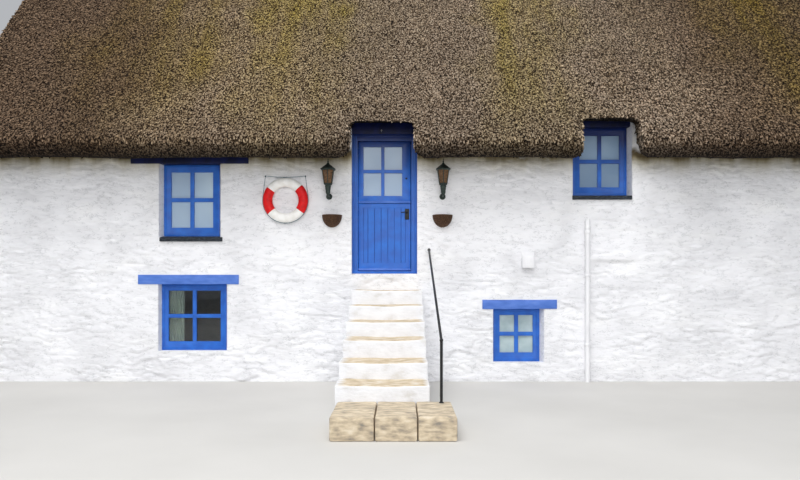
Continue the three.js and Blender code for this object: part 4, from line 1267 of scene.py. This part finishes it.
def build_lantern(node):
    """A six-sided wall lantern on its fluted stem and scrolled arm, with its lamp."""
    low, high = corners(node)
    across = (low.x + high.x) / 2
    wall = high.y
    glass_low, glass_high = corners(node + "_glass")
    centre = Vector((across, (glass_low.y + glass_high.y) / 2, 0))
    form = bmesh.new()
    base = [(0.052, 2.782), (0.062, 2.790), (0.066, 2.797), (0.0635, 2.806), (0.060, 2.809)]
    add_turned(form, base, centre, steps=6, start=BACK)
    roof = [
        (0.086, 2.990), (0.095, 2.990), (0.112, 2.998), (0.118, 3.003), (0.117, 3.010),
        (0.100, 3.019), (0.066, 3.047), (0.040, 3.066), (0.026, 3.075), (0.023, 3.084),
        (0.015, 3.090),
    ]
    add_turned(form, roof, centre, steps=6, start=BACK)
    ends = ((0.0605, 2.80), (0.0895, 2.995))
    bars = [
        [centre + Vector((out * math.sin(turn), out * math.cos(turn), up)) for out, up in ends]
        for turn in (math.tau * i / 6 for i in range(6))
    ]
    add_tubes(form, bars, 0.0048)
    finial = [
        (0.015, 3.086), (0.013, 3.094), (0.008, 3.098), (0.011, 3.105), (0.012, 3.111),
        (0.008, 3.118), (0.0055, 3.124), (0.0055, 3.146), (0.004, 3.155), (0, 3.159),
    ]
    add_turned(form, finial, centre, steps=20)
    stem = [
        (0, 2.640), (0.016, 2.642), (0.024, 2.650), (0.0235, 2.660), (0.031, 2.668), (0.034, 2.690),
        (0.033, 2.705), (0.036, 2.712), (0.0405, 2.740), (0.039, 2.752), (0.043, 2.760),
        (0.043, 2.771), (0.036, 2.778), (0.036, 2.786),
    ]
    fluted = add_turned(form, stem, centre, steps=36)
    for vert in {v for f in fluted for v in f.verts}:
        flat = Vector((vert.co.x - centre.x, vert.co.y - centre.y, 0))
        if 2.67 < vert.co.z < 2.75 and flat.length > 0.01:
            turn = math.atan2(flat.y, flat.x)
            flat *= 1 - 0.07 * (0.5 + 0.5 * math.cos(turn * 9))
            vert.co.x, vert.co.y = centre.x + flat.x, centre.y + flat.y
    arm = [
        (across, wall - 0.005, 2.640), (across, wall - 0.06, 2.638), (across, wall - 0.11, 2.640),
        (across, centre.y + 0.02, 2.648), (across, centre.y, 2.665),
    ]
    add_tubes(form, [arm], 0.0115, sides=12)
    scroll = [
        (across, wall - 0.03 - 0.05 * t - 0.018 * math.sin(t * 6), 2.652 + 0.05 * math.sin(t * 3.1))
        for t in np.linspace(0, 1, 16)
    ]
    add_tubes(form, [scroll], 0.005)
    rose = [(0, 0.014), (0.018, 0.013), (0.024, 0.009), (0.040, 0.007), (0.044, 0.004), (0.044, 0)]
    add_turned(form, rose, Vector((across, wall, 2.640)), axis=FRONT, steps=32)
    piece("cast_" + node, form, [green_cast_iron], stands_for=[node], smooth=38)
    paint_node(node + "_glass", amber_pane)
    lamp = bmesh.new()
    bulb = [
        (0, 2.945), (0.012, 2.942), (0.021, 2.930), (0.026, 2.912), (0.024, 2.893), (0.016, 2.872),
        (0.014, 2.855),
    ]
    add_turned(lamp, bulb, centre, steps=24)
    add_turned(lamp, [(0.014, 2.857), (0.017, 2.855), (0.017, 2.808)], centre, steps=20, material=1)
    piece(
        node.replace("lantern", "lamp"), lamp, [opal_bulb, green_cast_iron],
        smooth=40,
    )


def build_lanterns(settings):
    """The two wall lanterns."""
    for node in ("lantern_left", "lantern_right"):
        build_lantern(node)


# Baskets


def brown_wicker(settings):
    """Unpeeled willow: dark brown with a dull sheen, lighter on the worn rods."""
    return speckled(
        0.014, 4, [(0.35, "3A2619"), (0.55, "5C3E28"), (0.75, "8A6444")],
        (0.001, 0.5, 0.004, 3), Roughness=0.65,
    )


def coir_liner(settings):
    """Coconut fibre liner: matted, dull brown."""
    return speckled(
        0.006, 6, [(0.35, "2B1C12"), (0.55, "4E3622"), (0.75, "7A5A3A")], (0.004, 0.9),
        rough=0.7, Roughness=0.95,
    )


def build_basket(node):
    """A half-round wall basket: stakes, weavers, a laid rim, and its liner."""
    low, high = corners(node)
    centre = Vector(((low.x + high.x) / 2, high.y, high.z))
    radius, depth = (high.x - low.x) / 2, high.z - low.z

    def on_bowl(turn, drop, out=0.0):
        """A point of the half bowl: turn round its rim, and drop from 0 at the rim to 1."""
        angle = drop * math.pi / 2
        wide = (radius - 0.007 + out) * math.cos(angle)
        return centre + Vector((
            -wide * math.cos(turn), -wide * math.sin(turn), -(depth - 0.007 + out) * math.sin(angle),
        ))

    form = bmesh.new()
    stakes = 19
    turns = [math.pi * (i + 0.5) / stakes for i in range(stakes)]
    uprights = [[on_bowl(t, d) for d in np.linspace(0, 0.97, 12)] for t in turns]
    add_tubes(form, uprights, 0.0028, sides=6)
    rows = 17
    weavers = []
    for row in range(rows):
        drop = 0.03 + 0.9 * row / (rows - 1)
        sway = 1 if row % 2 else -1
        count = max(int(stakes * 4 * math.cos(drop * math.pi / 2)), 12)
        path = []
        for t in np.linspace(0.01, math.pi - 0.01, count):
            wave = math.sin(t * stakes) * sway * 0.0032
            path.append(on_bowl(t, drop, wave))
        weavers.append(path)
    add_tubes(form, weavers, 0.0042, sides=6)
    ropes = []
    for phase in (0, math.tau / 3, 2 * math.tau / 3):
        path = []
        for t in np.linspace(0, math.pi, 90):
            swing = t * 26 + phase
            point = on_bowl(t, 0, 0.0045 * math.cos(swing) - 0.002)
            path.append(point + UP * (0.0045 * math.sin(swing) - 0.006))
        ropes.append(path)
    add_tubes(form, ropes, 0.0042, sides=6)
    span = np.linspace(-radius + 0.006, radius - 0.006, 10)
    flat = [centre + Vector((x, -0.006, -0.006)) for x in span]
    arch = [on_bowl(0.02, d) + Vector((0, -0.004, 0)) for d in np.linspace(0, 1, 12)]
    arch += [on_bowl(math.pi - 0.02, d) + Vector((0, -0.004, 0)) for d in np.linspace(1, 0, 12)]
    add_tubes(form, [flat, arch], 0.0045, sides=6)
    piece("woven_" + node, form, [brown_wicker], stands_for=[node])
    liner = bmesh.new()
    outline = [
        ((radius - 0.016) * math.cos(a), -(depth - 0.016) * math.sin(a))
        for a in np.linspace(0.07, math.pi / 2 - 0.02, 12)
    ]
    add_turned(liner, [*outline, (0, -(depth - 0.016))], centre, steps=48, capped=False)
    cut_off(liner, centre + Vector((0, -0.004, 0)), BACK)
    bmesh.ops.recalc_face_normals(liner, faces=liner.faces)
    bmesh.ops.solidify(liner, geom=list(liner.faces), thickness=0.005)
    for vert in liner.verts:
        if vert.co.y < centre.y - 0.012:
            vert.co += noise.noise_vector(vert.co * 60) * 0.0022
    piece(node.replace("basket", "liner"), liner, [coir_liner], smooth=60)


def build_baskets(settings):
    """The two wall baskets."""
    for node in ("basket_left", "basket_right"):
        build_basket(node)


# Lifebuoy


def white_canvas(settings):
    """Painted canvas over a hard core: white, semi-matt, faintly woven and yellowed."""
    return speckled(
        0.08, 4, [(0.3, "E8E6E0"), (0.6, "F7F6F3")], (0.0005, 0.5, 0.003, 2), Roughness=0.5,
    )


def red_band(settings):
    """Red painted canvas: clean signal red, darker in its creases."""
    return speckled(
        0.06, 4, [(0.3, "BF0C10"), (0.55, "DD1418"), (0.8, "E62428")], (0.0005, 0.5, 0.003, 2),
        Roughness=0.5, Specular_IOR_Level=0.25,
    )


def blue_grey_cord(settings):
    """Polypropylene cord weathered to blue-grey, three strands laid together."""
    return speckled(
        0.004, 3, [(0.35, "47606C"), (0.6, "6E8A98"), (0.8, "A9BCC4")], (0.001, 0.8),
        Roughness=0.8,
    )


def build_buoy_ring(settings):
    """The lifebuoy's ring, its red bands pulled in a little under the white."""
    low, high = corners("lifebuoy")
    centre = (low + high) / 2
    outer, inner, depth = (high.x - low.x) / 2, 0.1875, high.y - low.y
    middle, half = (outer + inner) / 2, (outer - inner) / 2
    form = bmesh.new()
    outline = [
        (middle + half * math.cos(a), depth / 2 * math.sin(a)) for a in np.linspace(0, math.tau, 25)
    ]
    add_turned(form, outline, centre, axis=FRONT, steps=120)
    bands = ((-37, 43), (144, 219))
    for face in form.faces:
        spot = face.calc_center_median() - centre
        angle = math.degrees(math.atan2(spot.z, spot.x))
        if any(start <= angle <= end or start <= angle + 360 <= end for start, end in bands):
            face.material_index = 1
    red = [f for f in form.faces if f.material_index == 1]
    for vert in {v for f in red for v in f.verts}:
        if any(f.material_index == 0 for f in vert.link_faces):
            continue
        spot = vert.co - centre
        ring = Vector((spot.x, 0, spot.z)).normalized() * middle
        vert.co += (ring - spot).normalized() * -0.0022
    for vert in form.verts:
        vert.co.y = min(vert.co.y, high.y)
    piece(
        "banded_lifebuoy", form, [white_canvas, red_band],
        stands_for=["lifebuoy"], smooth=40,
    )


def slack(start, end, sag, count=9):
    """Points of a cord between two places, hanging by sag at its middle."""
    return [start.lerp(end, t) - UP * sag * 4 * t * (1 - t) for t in np.linspace(0, 1, count)]


def build_buoy_cord(settings):
    """The cord round the ring, its windings, its hitches and the nails that hold it."""
    low, high = corners("lifebuoy")
    centre = (low + high) / 2
    reach = (high.x - low.x) / 2 + 0.0046
    offset, rise = 0.284, 0.345
    bearing = math.atan2(rise, offset)
    low_turn = bearing - math.acos(reach / math.hypot(offset, rise))
    right_nail = centre + Vector((offset, 0, rise))
    left_nail = centre + Vector((-offset, 0, rise))
    crest = centre + Vector((0, -0.002, reach + 0.001))
    half_ring = [
        centre + Vector((reach * math.cos(a), 0, reach * math.sin(a)))
        for a in np.linspace(low_turn, -math.pi - low_turn, 60)
    ]
    route = [*slack(crest, right_nail, 0.004), *half_ring, *slack(left_nail, crest, 0.004)]
    rope = bmesh.new()
    add_tubes(rope, [route], 0.0040)
    wound = []
    for turn, span in ((math.pi / 2, 0.1), (-math.pi / 2, 0.07)):
        loops = []
        for t in np.linspace(0, 1, 90):
            angle = turn + span * (t - 0.5) * 2
            swing = t * math.tau * 9
            radial = Vector((math.cos(angle), 0, math.sin(angle)))
            out = reach + 0.0055 * math.cos(swing)
            loops.append(centre + radial * out + FRONT * 0.0055 * math.sin(swing))
        wound.append(loops)
    add_tubes(rope, wound, 0.0026, sides=6)
    nails = bmesh.new()
    for nail in (left_nail, right_nail):
        shank = [(0, 0.062), (0.0065, 0.0615), (0.0068, 0.059), (0.0036, 0.0575), (0.0036, 0)]
        add_turned(nails, shank, Vector((nail.x, FRONT_FACE, nail.z - 0.004)), axis=FRONT, steps=16)
        core = nail - UP * 0.004 - BACK * 0.006
        hitch = [
            core + Vector((0.0078 * math.cos(a), 0.006 * a / math.tau, 0.0078 * math.sin(a)))
            for a in np.linspace(0, 2 * math.tau, 40)
        ]
        add_tubes(rope, [hitch], 0.0030, sides=6)
    piece("lifebuoy_cord", rope, [blue_grey_cord], stands_for=["lifebuoy_rope"])
    piece("lifebuoy_nails", nails, [satin_iron], smooth=40)


# Pipe and vent


def white_upvc(settings):
    """White plastic under a coat of limewash: smooth, slightly chalky."""
    return speckled(
        0.08, 5, [(0.3, "E4E4E7"), (0.6, "F0F0F2")], (0.0008, 0.4, 0.01, 3), (1, 1, 0.3),
        Roughness=0.5,
    )


def build_pipe(settings):
    """The waste pipe with its coupling, its bands and its clips."""
    low, high = corners("waste_pipe")
    pipe, off_wall = 0.0365, 0.018
    centre = Vector(((low.x + high.x) / 2, FRONT_FACE - off_wall - pipe, 0))
    top = high.z
    form = bmesh.new()
    bore = [
        (0, 0), (pipe - 0.004, 0), (pipe - 0.0035, top - 0.22), (pipe - 0.003, 2.11),
        (pipe + 0.0035, 2.115), (pipe + 0.005, 2.12), (pipe + 0.005, 2.146), (pipe + 0.0035, 2.152),
        (pipe - 0.003, 2.156), (pipe - 0.003, top - 0.006), (pipe - 0.006, top),
        (pipe - 0.010, top - 0.001), (pipe - 0.010, top - 0.12), (0, top - 0.12),
    ]
    add_turned(form, bore, centre, steps=32)
    for height in (0.52, 1.5, 2.18):
        band = [
            (pipe - 0.004, height), (pipe + 0.004, height + 0.001), (pipe + 0.005, height + 0.004),
            (pipe + 0.005, height + 0.026), (pipe + 0.004, height + 0.029), (pipe - 0.004, height + 0.03),
        ]
        add_turned(form, band, centre, steps=32)
        eased_block(
            form, (centre.x - 0.015, centre.y + pipe, height),
            (centre.x + 0.015, FRONT_FACE, height + 0.03), 0.002,
        )
    piece(
        "painted_waste_pipe", form, [white_upvc],
        stands_for=["waste_pipe"], smooth=40,
    )


def build_vent(settings):
    """The vent's cowl and the slats under it."""
    form = cad_copy("wall_vent")
    ease(form, 0.003)
    low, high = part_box("wall_vent")
    piece("cowled_vent", form, [white_upvc], stands_for=["wall_vent"], smooth=35)
    slats = bmesh.new()
    for step in range(3):
        back = low[1] + 0.014 + 0.016 * step
        eased_block(
            slats, (low[0] + 0.006, back, low[2] + 0.004),
            (high[0] - 0.006, back + 0.003, low[2] + 0.02), 0.001,
        )
    piece("vent_slats", slats, [white_upvc])


# Curtains


def lined_curtain(settings):
    """Lined cotton curtain: soft grey-green, matt, plain woven."""
    return speckled(
        0.006, 3, [(0.3, "A7B2A4"), (0.7, "C6CFC0")], (0.0004, 0.6, 0.002, 2), (1, 1, 0.2),
        Roughness=0.95, Sheen_Weight=0.3,
    )


def net_curtain(settings):
    """Cotton net: pale green-white, thin enough to let some light through."""
    return speckled(
        0.005, 3, [(0.3, "CBDACD"), (0.7, "E6F0E6")], (0.0005, 0.6), (1, 1, 0.25),
        Roughness=0.9, Sheen_Weight=0.3, Transmission_Weight=0.15,
    )


def hang_curtain(node, name, maker, pleats, deep, seed):
    """A curtain hung in soft pleats from a wire."""
    low, high = corners(node)
    middle = (low.y + high.y) / 2
    head, foot = high.z - 0.03, low.z + 0.004
    left, right = low.x + 0.012, high.x - 0.012
    form = bmesh.new()
    rows = 18
    grid = bmesh.ops.create_grid(
        form, x_segments=pleats * 10, y_segments=rows, size=0.5,
        matrix=Matrix.Rotation(math.pi / 2, 4, "X"),
    )
    halfway = []
    for vert in grid["verts"]:
        along, up = vert.co.x + 0.5, vert.co.z + 0.5
        fall = 1 - up
        wave = along * pleats * math.tau + 0.8 * noise.noise(Vector((along * 3, seed, 0)))
        full = deep * (0.75 + 0.25 * fall)
        ruffle = 0.0015 * noise.noise(Vector((along * 9, up * 4, seed)))
        vert.co = Vector((
            left + (right - left) * along + 0.004 * fall * math.sin(wave * 0.5 + seed),
            middle + full * math.sin(wave) + ruffle,
            foot + (head - foot) * up,
        ))
        if round(fall * rows) == rows // 2:
            halfway.append((along, vert.co.copy()))
    halfway.sort(key=lambda item: item[0])
    bmesh.ops.recalc_face_normals(form, faces=form.faces)
    cloth = piece(name, form, [maker], stands_for=[node], smooth=60)
    thin = cloth.modifiers.new("cloth", "SOLIDIFY")
    thin.thickness = 0.0008
    wire = bmesh.new()
    window_low, window_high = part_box(node.replace("curtain", "window_frame"))
    height = high.z - 0.034
    places = np.linspace(window_low[0] - 0.004, window_high[0] + 0.004, 8)
    add_tubes(wire, [[(x, middle, height) for x in places]], 0.0022)
    rod = piece(name + "_wire", wire, [galvanised_wire])


def build_curtains(settings):
    """The drawn curtain and the net curtains."""
    hang_curtain("lower_left_curtain", "drawn_curtain", lined_curtain, 7, 0.0085, 1)
    hang_curtain("lower_right_curtain", "net_curtains", net_curtain, 13, 0.007, 2)


# Stage


def studio_paper(settings):
    """Pale seamless paper: matt, very slightly uneven."""
    return speckled(1.5, 3, [(0.3, "C6C4C0"), (0.7, "CECCC8")], Roughness=0.9)


def build_stage(settings):
    """The floor, the camera, the overcast sky and three large soft lights."""
    scene = bpy.context.scene
    scene.view_settings.view_transform = "Standard"
    floor_reach = 45
    form = bmesh.new()
    bmesh.ops.create_grid(form, x_segments=2, y_segments=2, size=floor_reach)
    mesh = bpy.data.meshes.new("studio_floor")
    form.to_mesh(mesh)
    form.free()
    mesh.materials.append(finish(studio_paper))
    in_scene("studio_floor", mesh)

    lens = bpy.data.cameras.new("front_camera")
    lens.lens = settings.lens
    lens.sensor_width = 36
    lens.shift_y = 0.05
    lens.clip_end = 200
    aside = -0.7
    camera = in_scene("front_camera", lens)
    camera.location = (aside, FRONT_FACE - settings.camera_distance, settings.eye_height)
    camera.rotation_euler = (math.pi / 2, 0, 0)
    scene.camera = camera

    sky = bpy.data.worlds.new("overcast")
    sky.use_nodes = True
    backdrop = sky.node_tree.nodes["Background"]
    backdrop.inputs["Color"].default_value = linear("EEF1F6")
    backdrop.inputs["Strength"].default_value = settings.sky_strength
    scene.world = sky

    lamps = (
        ("soft_sky", (-3, -10, 15), (-0.5, -2, 2.5), 11, settings.key_power),
        ("open_front", (0, -19, 6), (-0.5, -3, 2), 10, settings.key_power * 0.44),
        ("rear_sky", (3, 12, 14), (0, 2, 3), 12, settings.key_power * 0.6),
    )
    for name, place, aim, size, power in lamps:
        glow = bpy.data.lights.new(name, "AREA")
        glow.energy = power
        glow.size = size
        lamp = in_scene(name, glow)
        lamp.location = place
        lamp.rotation_euler = (Vector(aim) - Vector(place)).to_track_quat("-Z", "Y").to_euler()


# Add-on


class CottageSettings(bpy.types.PropertyGroup):
    """Sizes and colours that a user would change."""

    camera_distance: FloatProperty(
        name="Camera distance", description="From the front wall to the camera",
        default=10.0, unit="LENGTH",
    )
    eye_height: FloatProperty(
        name="Eye height", description="Height of the camera above the lowest ground",
        default=1.45, unit="LENGTH",
    )
    lens: FloatProperty(name="Lens", description="Focal length in millimetres", default=31.5)
    sky_strength: FloatProperty(
        name="Sky", description="Strength of the even light from all round", default=0.53,
    )
    key_power: FloatProperty(
        name="Soft light", description="Power of the large soft light", default=2060, unit="POWER",
    )
    wall_spacing: FloatProperty(
        name="Wall detail", description="Spacing of the points that shape the front wall",
        default=0.025, unit="LENGTH",
    )
    rubble_depth: FloatProperty(
        name="Rubble depth", description="How far the coated stones stand in and out",
        default=0.018, unit="LENGTH",
    )
    limewash_relief: FloatProperty(
        name="Limewash relief", description="Depth of the brushed coat",
        default=0.008, unit="LENGTH",
    )
    thatch_voxel: FloatProperty(
        name="Thatch detail", description="Size of the faces of the thatch's body",
        default=0.062, unit="LENGTH",
    )
    reed_speck: FloatProperty(
        name="Reed speck", description="Size of the light and dark specks of cut reed",
        default=0.021, unit="LENGTH",
    )
    reeds: IntProperty(
        name="Reeds", description="Cut reeds on each half of the front slope",
        default=36000, min=1,
    )
    paint_light: FloatVectorProperty(
        name="Paint", description="Blue of the joinery where it is fresh",
        subtype="COLOR", size=4, default=linear("2A6ECC"), min=0, max=1,
    )
    paint_shade: FloatVectorProperty(
        name="Paint, weathered", description="Blue of the joinery where it has dulled",
        subtype="COLOR", size=4, default=linear("225BB5"), min=0, max=1,
    )


class COTTAGE_OT_walls(bpy.types.Operator):
    """Work the walls' outward faces into limewashed rubble"""

    bl_idname = "cottage.walls"
    bl_label = "Limewashed walls"

    def execute(self, context):
        build_walls(context.scene.cottage)
        return {"FINISHED"}


class COTTAGE_OT_chimneys(bpy.types.Operator):
    """Build the stacks, their bedding and the clay pots"""

    bl_idname = "cottage.chimneys"
    bl_label = "Chimneys"

    def execute(self, context):
        build_chimneys(context.scene.cottage)
        return {"FINISHED"}


class COTTAGE_OT_floors(bpy.types.Operator):
    """Finish the boarded and the flagged floor"""

    bl_idname = "cottage.floors"
    bl_label = "Floors"

    def execute(self, context):
        build_floors(context.scene.cottage)
        return {"FINISHED"}


class COTTAGE_OT_thatch(bpy.types.Operator):
    """Lay the thatch's body and its coat of cut reeds"""

    bl_idname = "cottage.thatch"
    bl_label = "Thatch"

    def execute(self, context):
        build_thatch(context.scene.cottage)
        return {"FINISHED"}


class COTTAGE_OT_lintels(bpy.types.Operator):
    """Build the painted lintels and the slate sills"""

    bl_idname = "cottage.lintels"
    bl_label = "Lintels and sills"

    def execute(self, context):
        build_lintels(context.scene.cottage)
        build_sills(context.scene.cottage)
        return {"FINISHED"}


class COTTAGE_OT_windows(bpy.types.Operator):
    """Build the window frames and finish their glass"""

    bl_idname = "cottage.windows"
    bl_label = "Windows"

    def execute(self, context):
        build_windows(context.scene.cottage)
        return {"FINISHED"}


class COTTAGE_OT_door(bpy.types.Operator):
    """Build the door's frame, its two leaves, its boards and its handle"""

    bl_idname = "cottage.door"
    bl_label = "Door"

    def execute(self, context):
        build_door_frame(context.scene.cottage)
        build_door_leaves(context.scene.cottage)
        build_door_handle(context.scene.cottage)
        return {"FINISHED"}


class COTTAGE_OT_steps(bpy.types.Operator):
    """Build the worn steps, the landing's flagstones and the handrail"""

    bl_idname = "cottage.steps"
    bl_label = "Steps and handrail"

    def execute(self, context):
        build_steps(context.scene.cottage)
        build_handrail(context.scene.cottage)
        return {"FINISHED"}


class COTTAGE_OT_lanterns(bpy.types.Operator):
    """Build the two lanterns with their lamps"""

    bl_idname = "cottage.lanterns"
    bl_label = "Lanterns"

    def execute(self, context):
        build_lanterns(context.scene.cottage)
        return {"FINISHED"}


class COTTAGE_OT_baskets(bpy.types.Operator):
    """Weave the two wall baskets and line them"""

    bl_idname = "cottage.baskets"
    bl_label = "Wall baskets"

    def execute(self, context):
        build_baskets(context.scene.cottage)
        return {"FINISHED"}


class COTTAGE_OT_lifebuoy(bpy.types.Operator):
    """Build the lifebuoy, its cord and its nails"""

    bl_idname = "cottage.lifebuoy"
    bl_label = "Lifebuoy"

    def execute(self, context):
        build_buoy_ring(context.scene.cottage)
        build_buoy_cord(context.scene.cottage)
        return {"FINISHED"}


class COTTAGE_OT_pipe_and_vent(bpy.types.Operator):
    """Build the waste pipe and the cowled vent"""

    bl_idname = "cottage.pipe_and_vent"
    bl_label = "Pipe and vent"

    def execute(self, context):
        build_pipe(context.scene.cottage)
        build_vent(context.scene.cottage)
        return {"FINISHED"}


class COTTAGE_OT_curtains(bpy.types.Operator):
    """Hang the curtains behind the lower windows"""

    bl_idname = "cottage.curtains"
    bl_label = "Curtains"

    def execute(self, context):
        build_curtains(context.scene.cottage)
        return {"FINISHED"}


class COTTAGE_OT_stage(bpy.types.Operator):
    """Set up the floor, the lights and the camera"""

    bl_idname = "cottage.stage"
    bl_label = "Stage"

    def execute(self, context):
        build_stage(context.scene.cottage)
        return {"FINISHED"}


OPERATORS = (
    COTTAGE_OT_stage,
    COTTAGE_OT_walls,
    COTTAGE_OT_chimneys,
    COTTAGE_OT_floors,
    COTTAGE_OT_lintels,
    COTTAGE_OT_windows,
    COTTAGE_OT_door,
    COTTAGE_OT_steps,
    COTTAGE_OT_lanterns,
    COTTAGE_OT_baskets,
    COTTAGE_OT_lifebuoy,
    COTTAGE_OT_pipe_and_vent,
    COTTAGE_OT_curtains,
    COTTAGE_OT_thatch,
)


class COTTAGE_PT_panel(bpy.types.Panel):
    """Lists the settings and the steps that build the cottage's finish"""

    bl_label = "Thatched Cottage"
    bl_space_type = "VIEW_3D"
    bl_region_type = "UI"
    bl_category = "Cottage"

    def draw(self, context):
        column = self.layout.column()
        for name in CottageSettings.__annotations__:
            column.prop(context.scene.cottage, name)
        for operator in OPERATORS:
            column.operator(operator.bl_idname)


def register():
    for kind in (CottageSettings, *OPERATORS, COTTAGE_PT_panel):
        bpy.utils.register_class(kind)
    bpy.types.Scene.cottage = PointerProperty(type=CottageSettings)


def unregister():
    del bpy.types.Scene.cottage
    for kind in reversed((CottageSettings, *OPERATORS, COTTAGE_PT_panel)):
        bpy.utils.unregister_class(kind)


def main():
    """Builds every piece."""
    register()
    for operator in OPERATORS:
        group, name = operator.bl_idname.split(".")
        getattr(getattr(bpy.ops, group), name)()


if __name__ == "__main__":
    main()
